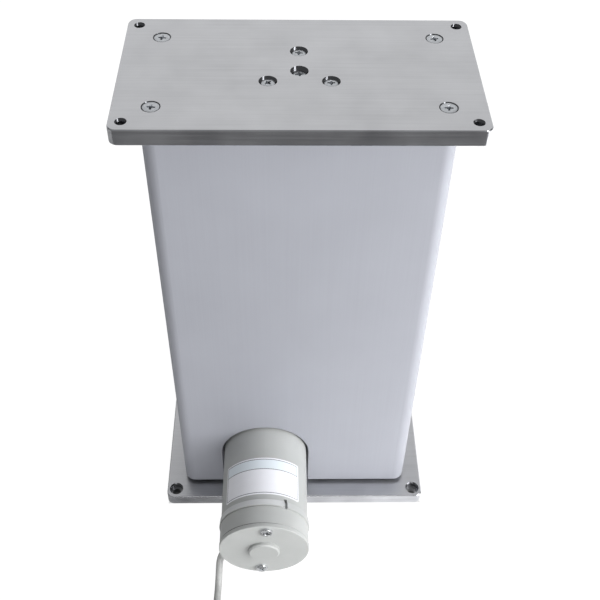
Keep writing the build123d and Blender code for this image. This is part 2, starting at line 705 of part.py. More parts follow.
with BuildPart() as spindle:
    column_turned(
        [
            (0, LOWER_BEARING_Z - JOURNAL_TAIL),
            (JOURNAL_D / 2, LOWER_BEARING_Z - JOURNAL_TAIL),
            (JOURNAL_D / 2, LOWER_BEARING_TOP),
            (SHOULDER_D / 2, LOWER_BEARING_TOP),
            (SHOULDER_D / 2, WHEEL_BOTTOM),
            (WHEEL_SEAT_D / 2, WHEEL_BOTTOM),
            (WHEEL_SEAT_D / 2, UPPER_BEARING_TOP),
            (COLLAR_D / 2, UPPER_BEARING_TOP),
            (COLLAR_D / 2, UPPER_BEARING_TOP + COLLAR_H),
            (SPINDLE_D / 2, UPPER_BEARING_TOP + COLLAR_H),
            (SPINDLE_D / 2, SPINDLE_TOP),
            (0, SPINDLE_TOP),
        ]
    )
    with BuildSketch(KEY_PLANE.offset(WHEEL_SEAT_D / 2 - KEY_DEPTH)):
        SlotOverall(KEY_L + 2 * PRESS, KEY_W + 2 * PRESS, rotation=90)
    extrude(amount=KEY_DEPTH, mode=Mode.SUBTRACT)
    with Locations((0, 0, SPINDLE_TOP)):
        Hole(STOP_SCREW_D / 2 + THREAD, STOP_SCREW_L)
spindle.part.label = "spindle"
export_step(spindle.part, "parts/spindle.step")

with BuildPart() as wheel_key:
    with BuildSketch(KEY_PLANE.offset(WHEEL_SEAT_D / 2 - KEY_DEPTH)):
        SlotOverall(KEY_L, KEY_W, rotation=90)
    extrude(amount=KEY_DEPTH + KEY_PROUD)
wheel_key.part.label = "wheel_key"
export_step(wheel_key.part, "parts/wheel_key.step")

with BuildPart() as spindle_retainer:
    sleeve(JOURNAL_D / 2 + PRESS, RETAINER_D / 2, LOWER_BEARING_Z - RETAINER_T, LOWER_BEARING_Z)
spindle_retainer.part.label = "spindle_retainer"
export_step(spindle_retainer.part, "parts/spindle_retainer.step")

with BuildPart() as spindle_stop_washer:
    sleeve(STOP_SCREW_D / 2 + SEAT, STOP_WASHER_D / 2, SPINDLE_TOP, SPINDLE_TOP + STOP_WASHER_T)
spindle_stop_washer.part.label = "spindle_stop_washer"
export_step(spindle_stop_washer.part, "parts/spindle_stop_washer.step")

with BuildPart() as spindle_stop_screw:
    with Locations((0, 0, SPINDLE_TOP + STOP_WASHER_T)):
        cheese_screws(STOP_SCREW_D, STOP_SCREW_HEAD_D, STOP_SCREW_HEAD_H, STOP_SCREW_L)
spindle_stop_screw.part.label = "spindle_stop_screw"
export_step(spindle_stop_screw.part, "parts/spindle_stop_screw.step")


# Worm wheel: involute teeth with a helix that matches the worm's lead


def half_space_angle(radius):
    """Half the angle of a tooth space of the wheel at a radius on the involute, in radians."""
    tooth = (PITCH - BACKLASH) / 4 / WHEEL_PITCH_R
    here = acos(min(1.0, WHEEL_BASE_R / radius))
    at_pitch = radians(PRESSURE_ANGLE)
    return pi / WHEEL_TEETH - tooth - (tan(at_pitch) - at_pitch) + (tan(here) - here)


def space_point(radius, angle):
    """A point of the tooth space that faces the worm, by its radius and angle from that direction."""
    return (-radius * cos(angle), radius * sin(angle))


WHEEL_TWIST = degrees(PITCH / (2 * pi * WORM_PITCH_R) / WHEEL_PITCH_R)

with BuildPart() as tooth_space:
    for level in (-WHEEL_FACE, WHEEL_FACE):
        twist_plane = Plane.XY.offset(MOTOR_Z + level).rotated((0, 0, WHEEL_TWIST * level))
        root_angle = half_space_angle(WHEEL_BASE_R)
        with BuildSketch(twist_plane):
            with BuildLine():
                flanks = []
                for side in (-1, 1):
                    base = space_point(WHEEL_BASE_R, side * root_angle)
                    middle = space_point(WHEEL_PITCH_R, side * half_space_angle(WHEEL_PITCH_R))
                    tip = space_point(WHEEL_TIP_R + MODULE, side * half_space_angle(WHEEL_TIP_R + MODULE))
                    ThreePointArc(base, middle, tip)
                    Line(base, space_point(WHEEL_ROOT_R, side * root_angle))
                    flanks.append(tip)
                Line(*[space_point(WHEEL_ROOT_R, side * root_angle) for side in (-1, 1)])
                Line(*flanks)
            make_face()
    loft()

with BuildPart() as worm_wheel:
    bore_r = WHEEL_SEAT_D / 2 + PRESS
    sleeve(bore_r, WHEEL_TIP_R, MOTOR_Z - WHEEL_FACE / 2, MOTOR_Z + WHEEL_FACE / 2)
    with PolarLocations(0, WHEEL_TEETH):
        add(tooth_space.part, mode=Mode.SUBTRACT)
    sleeve(bore_r, WHEEL_HUB_D / 2, WHEEL_BOTTOM, WHEEL_TOP)
    sleeve(bore_r, WHEEL_NECK_D / 2, WHEEL_TOP, UPPER_BEARING_Z)
    with BuildSketch(KEY_PLANE):
        SlotOverall(KEY_L + 2 * PRESS, KEY_W + 2 * PRESS, rotation=90)
    extrude(amount=WHEEL_SEAT_D / 2 + KEY_PROUD + SEAT, mode=Mode.SUBTRACT)
worm_wheel.part.label = "worm_wheel"
export_step(worm_wheel.part, "parts/worm_wheel.step")

# Worm: a straight sided thread wound on its core, one thread flank centred on the wheel's tooth space
with BuildPart() as worm:
    worm_start = -WORM_TURNS / 2 * PITCH
    with BuildLine() as thread_path:
        Helix(PITCH, WORM_TURNS * PITCH, WORM_PITCH_R, (MOTOR_X, worm_start, MOTOR_Z), (0, 1, 0))
    with BuildSketch(MOTOR_HALF) as thread_profile:
        with BuildLine():
            slope = tan(radians(PRESSURE_ANGLE))
            half_pitch_line = (PITCH - BACKLASH) / 4
            sunk_r = WORM_ROOT_R - ROOT_GAP
            corners = []
            for radius, side in ((sunk_r, -1), (WORM_TIP_R, -1), (WORM_TIP_R, 1), (sunk_r, 1)):
                half = half_pitch_line + slope * (WORM_PITCH_R - radius)
                corners.append((-worm_start + side * half, radius))
            Polyline(*corners, close=True)
        make_face()
    sweep(thread_profile.sketch, thread_path.line, is_frenet=True)
    motor_sleeve(WORM_SHAFT_D / 2 + PRESS, WORM_ROOT_R, -WORM_L / 2, WORM_L / 2)
worm.part.label = "worm"
export_step(worm.part, "parts/worm.step")


# Nut, push tube and what fixes them to the top plate

PUSH_TUBE_R = PUSH_TUBE_D / 2
PUSH_BORE_R = PUSH_TUBE_R - PUSH_TUBE_WALL
NUT_PIN_Z = NUT_Z + NUT_FLANGE_T + NUT_L / 2

with BuildPart() as spindle_nut:
    nut_bore_r = SPINDLE_D / 2 + NUT_RUNNING
    column_turned(
        [
            (nut_bore_r, NUT_Z),
            (PUSH_TUBE_R, NUT_Z),
            (PUSH_TUBE_R, PUSH_TUBE_Z),
            (PUSH_BORE_R - SEAT, PUSH_TUBE_Z),
            (PUSH_BORE_R - SEAT, NUT_TOP),
            (nut_bore_r, NUT_TOP),
        ]
    )
    for side in (-90, 90):
        with Locations(Location((0, 0, NUT_PIN_Z), (0, side, 0))):
            with Locations((0, 0, PUSH_BORE_R - NUT_PIN_DEPTH)):
                Cylinder(NUT_PIN_D / 2 + SEAT, PUSH_TUBE_R, align=UP, mode=Mode.SUBTRACT)
spindle_nut.part.label = "spindle_nut"
export_step(spindle_nut.part, "parts/spindle_nut.step")

with BuildPart() as push_tube:
    sleeve(PUSH_BORE_R, PUSH_TUBE_R, PUSH_TUBE_Z, TOP_Z)
    with Locations((0, 0, NUT_PIN_Z)):
        Cylinder(NUT_PIN_D / 2 + SEAT, 2 * PUSH_TUBE_D, rotation=(0, 90, 0), mode=Mode.SUBTRACT)
push_tube.part.label = "push_tube"
export_step(push_tube.part, "parts/push_tube.step")

with BuildPart() as nut_pins:
    for side in (-90, 90):
        with Locations(Location((0, 0, NUT_PIN_Z), (0, side, 0))):
            with Locations((0, 0, PUSH_BORE_R - NUT_PIN_DEPTH)):
                Cylinder(NUT_PIN_D / 2, PUSH_TUBE_WALL + NUT_PIN_DEPTH - SEAT, align=UP)
nut_pins.part.label = "nut_pins"
export_step(nut_pins.part, "parts/nut_pins.step")

with BuildPart() as push_tube_plug:
    sleeve(CENTRE_SCREW_D / 2 + THREAD, PUSH_BORE_R - SEAT, TOP_Z - PLUG_L, TOP_Z)
push_tube_plug.part.label = "push_tube_plug"
export_step(push_tube_plug.part, "parts/push_tube_plug.step")

with BuildPart() as thrust_collar:
    sleeve(PUSH_TUBE_R + SEAT, THRUST_COLLAR_D / 2, TOP_Z - THRUST_COLLAR_T, TOP_Z)
    with Locations((0, 0, TOP_Z)):
        with PolarLocations(CROWN_PCD / 2, 3, start_angle=90):
            Hole(CROWN_SCREW_D / 2 + THREAD)
thrust_collar.part.label = "thrust_collar"
export_step(thrust_collar.part, "parts/thrust_collar.step")

with BuildPart() as crown_screws:
    with Locations((0, 0, COLUMN_H - CROWN_SINK_DEPTH)):
        with PolarLocations(CROWN_PCD / 2, 3, start_angle=90):
            cheese_screws(CROWN_SCREW_D, CROWN_SCREW_HEAD_D, CROWN_SCREW_HEAD_H, CROWN_SCREW_L)
crown_screws.part.label = "crown_screws"
export_step(crown_screws.part, "parts/crown_screws.step")

with BuildPart() as centre_screw:
    with Locations((0, 0, COLUMN_H - CENTRE_SINK_DEPTH)):
        cheese_screws(CENTRE_SCREW_D, CENTRE_SCREW_HEAD_D, CENTRE_SCREW_HEAD_H, CENTRE_SCREW_L)
centre_screw.part.label = "centre_screw"
export_step(centre_screw.part, "parts/centre_screw.step")


# Limit sensing: a magnet on the push tube passes two sensors on a board along the back wall

BACK_WALL_Y = INNER_D / 2 - INNER_WALL
SENSOR_FACE_Y = BACK_WALL_Y - BOARD_T - SENSOR_T
SENSOR_MAGNET_Y = SENSOR_FACE_Y - MAGNET_GAP - SENSOR_MAGNET_T
HOLDER_Z = PUSH_TUBE_Z + HOLDER_ABOVE
SENSED_Z = HOLDER_Z + HOLDER_H / 2

with BuildPart() as magnet_holder:
    holder_r = PUSH_TUBE_R + SEAT + HOLDER_WALL
    with BuildSketch(Plane.XY.offset(HOLDER_Z)):
        Circle(holder_r)
        arm_l = SENSOR_MAGNET_Y + SENSOR_MAGNET_T - MAGNET_PROUD
        Rectangle(2 * SENSOR_MAGNET_W, arm_l, align=(Align.CENTER, Align.MIN))
        Circle(PUSH_TUBE_R + SEAT, mode=Mode.SUBTRACT)
    extrude(amount=HOLDER_H)
    with Locations((0, SENSOR_MAGNET_Y, SENSED_Z)):
        pocket_w = SENSOR_MAGNET_W + 2 * SEAT
        along_y = (Align.CENTER, Align.MIN, Align.CENTER)
        Box(pocket_w, SENSOR_MAGNET_T, pocket_w, align=along_y, mode=Mode.SUBTRACT)
magnet_holder.part.label = "magnet_holder"
export_step(magnet_holder.part, "parts/magnet_holder.step")

with BuildPart() as sensor_magnet:
    with Locations((0, SENSOR_MAGNET_Y + SENSOR_MAGNET_T / 2, SENSED_Z)):
        Box(SENSOR_MAGNET_W, SENSOR_MAGNET_T, SENSOR_MAGNET_W)
sensor_magnet.part.label = "sensor_magnet"
export_step(sensor_magnet.part, "parts/sensor_magnet.step")

with BuildPart() as sensor_board:
    with Locations((0, BACK_WALL_Y - BOARD_T / 2, SENSED_Z - BOARD_MARGIN)):
        Box(BOARD_W, BOARD_T, STROKE + 2 * BOARD_MARGIN, align=UP)
sensor_board.part.label = "sensor_board"
export_step(sensor_board.part, "parts/sensor_board.step")

with BuildPart() as limit_sensors:
    for height in (SENSED_Z, SENSED_Z + STROKE):
        with Locations((0, SENSOR_FACE_Y + SENSOR_T / 2, height)):
            Box(SENSOR_W, SENSOR_T, SENSOR_L)
limit_sensors.part.label = "limit_sensors"
export_step(limit_sensors.part, "parts/limit_sensors.step")


# Motor shell

with BuildPart() as motor_flange:
    register_r = YOKE_BORE_R - SEAT
    bush_seat_r = REAR_SEAT_R
    motor_turned(
        [
            (HOUSING_HALF_D - SPIGOT_L, bush_seat_r),
            (HOUSING_HALF_D - SPIGOT_L, SPIGOT_R),
            (HOUSING_HALF_D, SPIGOT_R),
            (HOUSING_HALF_D, MOTOR_R),
            (YOKE_S, MOTOR_R),
            (YOKE_S, register_r),
            (YOKE_S + FLANGE_REGISTER, register_r),
            (YOKE_S + FLANGE_REGISTER, register_r - FLANGE_RING_WALL),
            (YOKE_S, register_r - FLANGE_RING_WALL),
            (YOKE_S, FLANGE_HUB_R),
            (YOKE_S + FLANGE_HUB_L, FLANGE_HUB_R),
            (YOKE_S + FLANGE_HUB_L, bush_seat_r),
        ]
    )
    with BuildSketch(across_motor(HOUSING_HALF_D)):
        with PolarLocations(FLANGE_PCD / 2, 4, start_angle=45):
            Circle(FLANGE_SCREW_D / 2 + SINK_GAP)
    extrude(amount=FLANGE_T, mode=Mode.SUBTRACT)
    with BuildSketch(across_motor(YOKE_S - TIE_THREAD_L)):
        with PolarLocations(TIE_R, 2, start_angle=90 - TIE_TILT):
            Circle(TIE_SCREW_D / 2 + THREAD)
    extrude(amount=TIE_THREAD_L + FLANGE_REGISTER, mode=Mode.SUBTRACT)
motor_flange.part.label = "motor_flange"
export_step(motor_flange.part, "parts/motor_flange.step")

with BuildPart() as motor_flange_screws:
    with Locations(across_motor(YOKE_S)):
        with PolarLocations(FLANGE_PCD / 2, 4, start_angle=45):
            cheese_screws(FLANGE_SCREW_D, FLANGE_SCREW_HEAD_D, FLANGE_SCREW_HEAD_H, FLANGE_SCREW_L)
motor_flange_screws.part.label = "motor_flange_screws"
export_step(motor_flange_screws.part, "parts/motor_flange_screws.step")

with BuildPart() as motor_yoke:
    motor_sleeve(YOKE_BORE_R, MOTOR_R, YOKE_S, CAP_S)
    with BuildSketch(across_motor(CAP_S - TAB_NOTCH_L)):
        with PolarLocations(CAP_R, 1, start_angle=TAB_ANGLE):
            Rectangle(2 * YOKE_WALL, TAB_W, align=(Align.MAX, Align.CENTER))
    extrude(amount=TAB_NOTCH_L, mode=Mode.SUBTRACT)
motor_yoke.part.label = "motor_yoke"
export_step(motor_yoke.part, "parts/motor_yoke.step")

GROMMET_S = COVER_S - GROMMET_FROM_COVER
GROMMET_X = MOTOR_X + CAP_R * cos(radians(GROMMET_SEAT_ANGLE))
GROMMET_Z = MOTOR_Z + CAP_R * sin(radians(GROMMET_SEAT_ANGLE))
GROMMET_DIR = (cos(radians(GROMMET_AIM)), 0, sin(radians(GROMMET_AIM)))
GROMMET_PLANE = Plane(origin=(GROMMET_X, -GROMMET_S, GROMMET_Z), x_dir=(0, 1, 0), z_dir=GROMMET_DIR)

with BuildPart() as motor_end_cap:
    lip_end_s = CAP_S + CAP_LIP_L
    motor_turned(
        [
            (CAP_S - CAP_SPIGOT, CAP_BORE_R),
            (CAP_S - CAP_SPIGOT, YOKE_BORE_R - SEAT),
            (CAP_S, YOKE_BORE_R - SEAT),
            (CAP_S, CAP_LIP_BACK_R),
            (lip_end_s - CAP_SEAM, CAP_LIP_R),
            (lip_end_s, CAP_R - CAP_SEAM),
            (lip_end_s + CAP_SEAM, CAP_R),
            (COVER_S - CAP_SEAM, CAP_R),
            (COVER_S, CAP_R - CAP_SEAM),
            (COVER_S, CAP_BORE_R),
        ]
    )
    with BuildSketch(GROMMET_PLANE.offset(-CAP_R / 2)):
        Circle(GROMMET_R)
    extrude(amount=CAP_R, mode=Mode.SUBTRACT)
    with BuildSketch(across_motor(CAP_S)):
        with PolarLocations(CAP_R - TAB_DEPTH, 1, start_angle=TAB_ANGLE):
            Rectangle(2 * TAB_DEPTH, TAB_W, align=(Align.MIN, Align.CENTER))
    extrude(amount=TAB_L, mode=Mode.SUBTRACT)
motor_end_cap.part.label = "motor_end_cap"
export_step(motor_end_cap.part, "parts/motor_end_cap.step")

with BuildPart() as motor_end_cover:
    hub_r = REAR_SEAT_R + REAR_SEAT_WALL
    seat_end_s = REAR_BUSH_S + REAR_BUSH_L
    motor_turned(
        [
            (REAR_BUSH_S, REAR_SEAT_R),
            (REAR_BUSH_S, hub_r),
            (COVER_S, hub_r),
            (COVER_S, COVER_R - CAP_SEAM),
            (COVER_S + CAP_SEAM, COVER_R),
            (FACE_S - COVER_EDGE, COVER_R),
            (FACE_S, COVER_R - COVER_EDGE),
            (FACE_S, BOSS_R),
            (BOSS_S - BOSS_EDGE, BOSS_R),
            (BOSS_S, BOSS_R - BOSS_EDGE),
            (BOSS_S, 0),
            (seat_end_s, 0),
            (seat_end_s, REAR_SEAT_R),
        ]
    )
    with BuildSketch(across_motor(COVER_S)):
        with PolarLocations(TIE_R, 2, start_angle=90 - TIE_TILT):
            Circle(TIE_SCREW_D / 2 + SINK_GAP)
    extrude(amount=COVER_T, mode=Mode.SUBTRACT)
motor_end_cover.part.label = "motor_end_cover"
export_step(motor_end_cover.part, "parts/motor_end_cover.step")

with BuildPart() as motor_tie_screws:
    with Locations(across_motor(FACE_S)):
        with PolarLocations(TIE_R, 2, start_angle=90 - TIE_TILT):
            cheese_screws(
                TIE_SCREW_D, TIE_SCREW_HEAD_D, TIE_SCREW_HEAD_H, FACE_S - YOKE_S + TIE_THREAD_L - THREAD
            )
motor_tie_screws.part.label = "motor_tie_screws"
export_step(motor_tie_screws.part, "parts/motor_tie_screws.step")

with BuildPart() as motor_front_bush:
    motor_sleeve(
        SHAFT_D / 2 + RUNNING, REAR_SEAT_R - SEAT, HOUSING_HALF_D - SPIGOT_L, YOKE_S + FLANGE_HUB_L
    )
motor_front_bush.part.label = "motor_front_bush"
export_step(motor_front_bush.part, "parts/motor_front_bush.step")

with BuildPart() as motor_rear_bush:
    motor_sleeve(SHAFT_D / 2 + RUNNING, REAR_SEAT_R - SEAT, REAR_BUSH_S, REAR_BUSH_S + REAR_BUSH_L)
motor_rear_bush.part.label = "motor_rear_bush"
export_step(motor_rear_bush.part, "parts/motor_rear_bush.step")

with BuildPart() as worm_end_bush:
    motor_sleeve(WORM_SHAFT_D / 2 + RUNNING, WORM_BUSH_R, WORM_BUSH_S - WORM_BUSH_L, WORM_BUSH_S)
worm_end_bush.part.label = "worm_end_bush"
export_step(worm_end_bush.part, "parts/worm_end_bush.step")

with BuildPart() as motor_magnets:
    magnet_outer_r = YOKE_BORE_R - SEAT
    with BuildSketch(across_motor(YOKE_S + MAGNET_START)):
        with BuildLine():
            outer = CenterArc((0, 0), magnet_outer_r, -MAGNET_ARC / 2, MAGNET_ARC)
            inner = CenterArc((0, 0), magnet_outer_r - MAGNET_T, -MAGNET_ARC / 2, MAGNET_ARC)
            Line(outer @ 0, inner @ 0)
            Line(outer @ 1, inner @ 1)
        make_face()
        mirror(about=Plane.YZ)
    extrude(amount=MAGNET_L)
motor_magnets.part.label = "motor_magnets"
export_step(motor_magnets.part, "parts/motor_magnets.step")


# Brush gear inside the end cap

BRUSH_S = COMMUTATOR_S + COMMUTATOR_L / 2
BRUSH_START_R = COMMUTATOR_R + BRUSH_GAP
BRUSH_END_R = BRUSH_START_R + BRUSH_L
SPRING_END_R = BRUSH_END_R + BRUSH_SPRING_L

with BuildPart() as brush_card:
    with BuildSketch(across_motor(CARD_S)):
        ring_face(REAR_SEAT_R + REAR_SEAT_WALL + CARD_HOLE_GAP, CAP_BORE_R - SEAT)
        with PolarLocations(TIE_R, 2, start_angle=90 - TIE_TILT):
            Circle(TIE_SCREW_D / 2 + SINK_GAP, mode=Mode.SUBTRACT)
    extrude(amount=CARD_T)
brush_card.part.label = "brush_card"
export_step(brush_card.part, "parts/brush_card.step")

with BuildPart() as brush_boxes:
    box_w = BRUSH_W + 2 * (SEAT + BRUSH_BOX_WALL)
    box_start_r = BRUSH_START_R + BRUSH_BOX_START
    with BuildSketch(across_motor(BRUSH_S - box_w / 2)):
        with PolarLocations(box_start_r, 2):
            Rectangle(SPRING_END_R + BRUSH_BOX_WALL - box_start_r, box_w, align=(Align.MIN, Align.CENTER))
    extrude(amount=CARD_S - BRUSH_S + box_w / 2)
    with BuildSketch(across_motor(BRUSH_S - BRUSH_W / 2 - SEAT)):
        with PolarLocations(box_start_r, 2):
            Rectangle(SPRING_END_R - box_start_r, BRUSH_W + 2 * SEAT, align=(Align.MIN, Align.CENTER))
    extrude(amount=BRUSH_W + 2 * SEAT, mode=Mode.SUBTRACT)
brush_boxes.part.label = "brush_boxes"
export_step(brush_boxes.part, "parts/brush_boxes.step")

with BuildPart() as carbon_brushes:
    with BuildSketch(across_motor(BRUSH_S - BRUSH_W / 2)):
        with PolarLocations(BRUSH_START_R, 2):
            Rectangle(BRUSH_L, BRUSH_W, align=(Align.MIN, Align.CENTER))
    extrude(amount=BRUSH_W)
carbon_brushes.part.label = "carbon_brushes"
export_step(carbon_brushes.part, "parts/carbon_brushes.step")

with BuildPart() as brush_springs:
    for side in (-90, 90):
        with Locations(Location((MOTOR_X, -BRUSH_S, MOTOR_Z), (0, side, 0))):
            with Locations((0, 0, BRUSH_END_R)):
                Cylinder(BRUSH_SPRING_R, BRUSH_SPRING_L, align=UP)
                Cylinder(BRUSH_SPRING_R / 2, BRUSH_SPRING_L, align=UP, mode=Mode.SUBTRACT)
brush_springs.part.label = "brush_springs"
export_step(brush_springs.part, "parts/brush_springs.step")


# Rotor

with BuildPart() as motor_shaft:
    shaft_start_s = WORM_BUSH_S - WORM_BUSH_L + SHAFT_BEHIND
    shaft_end_s = REAR_BUSH_S + REAR_BUSH_L - SHAFT_BEHIND
    motor_turned(
        [
            (shaft_start_s, 0),
            (shaft_start_s, WORM_SHAFT_D / 2),
            (WORM_L / 2, WORM_SHAFT_D / 2),
            (WORM_L / 2, SHAFT_D / 2),
            (shaft_end_s, SHAFT_D / 2),
            (shaft_end_s, 0),
        ]
    )
motor_shaft.part.label = "motor_shaft"
export_step(motor_shaft.part, "parts/motor_shaft.step")

with BuildPart() as armature_core:
    with BuildSketch(across_motor(CORE_S)):
        ring_face(SHAFT_D / 2 + PRESS, ROTOR_R)
        with PolarLocations(ROTOR_R - SLOT_DEPTH, SLOTS):
            Rectangle(SLOT_DEPTH + MODULE, SLOT_W, align=(Align.MIN, Align.CENTER), mode=Mode.SUBTRACT)
    extrude(amount=CORE_L)
armature_core.part.label = "armature_core"
export_step(armature_core.part, "parts/armature_core.step")

with BuildPart() as armature_windings:
    motor_sleeve(WINDING_INNER_R, WINDING_OUTER_R, CORE_S - WINDING_L, CORE_S)
    motor_sleeve(WINDING_INNER_R, WINDING_OUTER_R, CORE_END_S, CORE_END_S + WINDING_L)
    with BuildSketch(across_motor(CORE_S)):
        with PolarLocations(ROTOR_R - SLOT_DEPTH + WIRE_GAP, SLOTS):
            Rectangle(
                WINDING_OUTER_R - ROTOR_R + SLOT_DEPTH - WIRE_GAP,
                SLOT_W - 2 * WIRE_GAP,
                align=(Align.MIN, Align.CENTER),
            )
    extrude(amount=CORE_L)
armature_windings.part.label = "armature_windings"
export_step(armature_windings.part, "parts/armature_windings.step")

with BuildPart() as commutator:
    with BuildSketch(across_motor(COMMUTATOR_S)):
        ring_face(SHAFT_D / 2 + PRESS, COMMUTATOR_R)
        with PolarLocations(COMMUTATOR_R - COMMUTATOR_SLIT_DEPTH, SLOTS):
            Rectangle(
                2 * COMMUTATOR_SLIT_DEPTH,
                COMMUTATOR_SLIT,
                align=(Align.MIN, Align.CENTER),
                mode=Mode.SUBTRACT,
            )
    extrude(amount=COMMUTATOR_L)
commutator.part.label = "commutator"
export_step(commutator.part, "parts/commutator.step")


# Motor cable: a grommet in the end cap, the visible run to the floor, a tied coil and a plug

with BuildPart() as cable_grommet:
    with BuildSketch(GROMMET_PLANE.offset(-CAP_R / 3)):
        ring_face(CABLE_D / 2 + SEAT, GROMMET_R - SEAT)
    extrude(amount=CAP_R / 2)
    with BuildSketch(across_motor(CAP_S + CAP_LIP_L)):
        ring_face(CAP_BORE_R, CAP_R + GROMMET_PROUD)
    extrude(amount=COVER_S - CAP_S, mode=Mode.INTERSECT)
cable_grommet.part.label = "cable_grommet"
export_step(cable_grommet.part, "parts/cable_grommet.step")

CABLE_R = CABLE_D / 2
FLOOR_Z = TIE_BAND_T + CABLE_R
COIL_START_R = COIL_R + COIL_HALF_WIDTH - CABLE_R
COIL_REACH = 0.4 * COIL_START_R


def cable_tube(points):
    """A cable along straight runs joined by arcs as large as the runs allow, with its check printed."""
    runs = [Vector(*b) - Vector(*a) for a, b in zip(points, points[1:])]
    radii = []
    for before, after in zip(runs, runs[1:]):
        half_turn = radians(before.get_angle(after)) / 2
        radii.append(CABLE_BEND_SHARE * min(before.length, after.length) / tan(half_turn))
    with BuildLine() as route:
        FilletPolyline(*points, radius=radii)
    with BuildSketch(Plane(origin=points[0], z_dir=runs[0])) as section:
        Circle(CABLE_R)
    sweep(section.sketch, route.line)
    length = route.wires()[0].length
    print("cable radii", [round(r, 1) for r in radii], "length", round(length, 1))
    return length * pi * CABLE_R**2


# The run leaves the grommet steeply, meets the floor close by and goes on forwards to the coil
CABLE_START = tuple(GROMMET_PLANE.from_local_coords((0, 0, -CABLE_INSIDE)))
CABLE_TURN = tuple(GROMMET_PLANE.from_local_coords((0, 0, CABLE_STRAIGHT)))
CABLE_ROUTE = [
    CABLE_START,
    CABLE_TURN,
    (-55.4, -116.4, 21.2),
    (-55.9, -118.6, 14.0),
    (-56.3, -121.6, 8.6),
    (-56.6, -126.2, 5.0),
    (-56.9, -132.8, FLOOR_Z + 0.25),
    (-57.3, -142.0, FLOOR_Z),
    (-57.9, -153.0, FLOOR_Z - 0.01),
    (COIL_X - COIL_START_R, COIL_Y + COIL_REACH, FLOOR_Z),
]
with BuildPart() as cable_run:
    swept = cable_tube(CABLE_ROUTE)
    print("cable run volume", round(cable_run.part.volume, 1), "against", round(swept, 1))
cable_run.part.label = "cable_run"
export_step(cable_run.part, "parts/cable_run.step")

# The put-away length: two layers of turns, drawn as one closed ring
with BuildPart() as cable_coil:
    with BuildSketch(Plane(origin=(COIL_X, COIL_Y, TIE_BAND_T))):
        ring_face(COIL_R - COIL_HALF_WIDTH, COIL_R + COIL_HALF_WIDTH)
    extrude(amount=COIL_LAYERS * CABLE_D)
cable_coil.part.label = "cable_coil"
export_step(cable_coil.part, "parts/cable_coil.step")

with BuildPart() as coil_tie:
    with BuildSketch(Plane(origin=(COIL_X + COIL_R, COIL_Y, 0), x_dir=(1, 0, 0), z_dir=(0, -1, 0))):
        tie_w = 2 * (COIL_HALF_WIDTH + TIE_CLEARANCE)
        tie_h = COIL_LAYERS * CABLE_D + TIE_CLEARANCE
        low = (Align.CENTER, Align.MIN)
        Rectangle(tie_w + 2 * TIE_BAND_T, tie_h + 2 * TIE_BAND_T, align=low)
        with Locations((0, TIE_BAND_T)):
            Rectangle(tie_w, tie_h, align=low, mode=Mode.SUBTRACT)
    extrude(amount=TIE_BAND_W / 2, both=True)
coil_tie.part.label = "coil_tie"
export_step(coil_tie.part, "parts/coil_tie.step")

# The cable's end leaves the top layer along a tangent and ends in a moulded round plug
LEAVE = radians(COIL_LEAVE_ANGLE)
LEAVE_DIR = Vector(-sin(LEAVE), cos(LEAVE), 0)
LEAVE_POINT = Vector(
    COIL_X + COIL_START_R * cos(LEAVE),
    COIL_Y + COIL_START_R * sin(LEAVE),
    TIE_BAND_T + COIL_LAYERS * CABLE_D - CABLE_R,
)
PLUG_FOOT = Vector(LEAVE_POINT.X, LEAVE_POINT.Y, PLUG_BODY_R) + LEAVE_DIR * PLUG_START
PLUG_PLANE = Plane(origin=PLUG_FOOT, x_dir=(0, 0, 1), z_dir=LEAVE_DIR)
PLUG_HALF = Plane(origin=PLUG_FOOT, x_dir=LEAVE_DIR, z_dir=LEAVE_DIR.cross(Vector(0, 0, 1)))
PLUG_AXIS = Axis(PLUG_FOOT, LEAVE_DIR)
PLUG_BODY_END = PLUG_TAIL_L + PLUG_BODY_L

with BuildPart() as cable_end:
    drop = Vector(0, 0, PLUG_FOOT.Z - LEAVE_POINT.Z)
    cable_tube(
        [
            tuple(LEAVE_POINT + LEAVE_DIR * (share * PLUG_START) + drop * fall)
            for share, fall in ((0.25, 0.0), (0.5, 0.15), (0.72, 0.9), (0.9, 1.0), (1.0, 1.0))
        ]
    )
cable_end.part.label = "cable_end"
export_step(cable_end.part, "parts/cable_end.step")

with BuildPart() as plug_body:
    turned(
        [
            (0, 0),
            (0, PLUG_TAIL_R),
            (PLUG_TAIL_L, PLUG_TAIL_R + PLUG_TAIL_FLARE),
            (PLUG_TAIL_L, PLUG_BODY_R),
            (PLUG_BODY_END, PLUG_BODY_R),
            (PLUG_BODY_END, 0),
        ],
        PLUG_HALF,
        PLUG_AXIS,
    )
plug_body.part.label = "plug_body"
export_step(plug_body.part, "parts/plug_body.step")

with BuildPart() as plug_shell:
    with BuildSketch(PLUG_PLANE.offset(PLUG_BODY_END)):
        ring_face(PLUG_SHELL_R - PLUG_SHELL_WALL, PLUG_SHELL_R)
    extrude(amount=PLUG_SHELL_L)
plug_shell.part.label = "plug_shell"
export_step(plug_shell.part, "parts/plug_shell.step")

with BuildPart() as plug_pins:
    with BuildSketch(PLUG_PLANE.offset(PLUG_BODY_END)):
        with PolarLocations(PLUG_PIN_PCD / 2, PLUG_PINS, start_angle=45):
            Circle(PLUG_PIN_D / 2)
    extrude(amount=PLUG_PIN_L)
plug_pins.part.label = "plug_pins"
export_step(plug_pins.part, "parts/plug_pins.step")

print("closed height", COLUMN_H, "motor end", BOSS_S)
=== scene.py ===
from math import cos, pi, radians, sin, sqrt

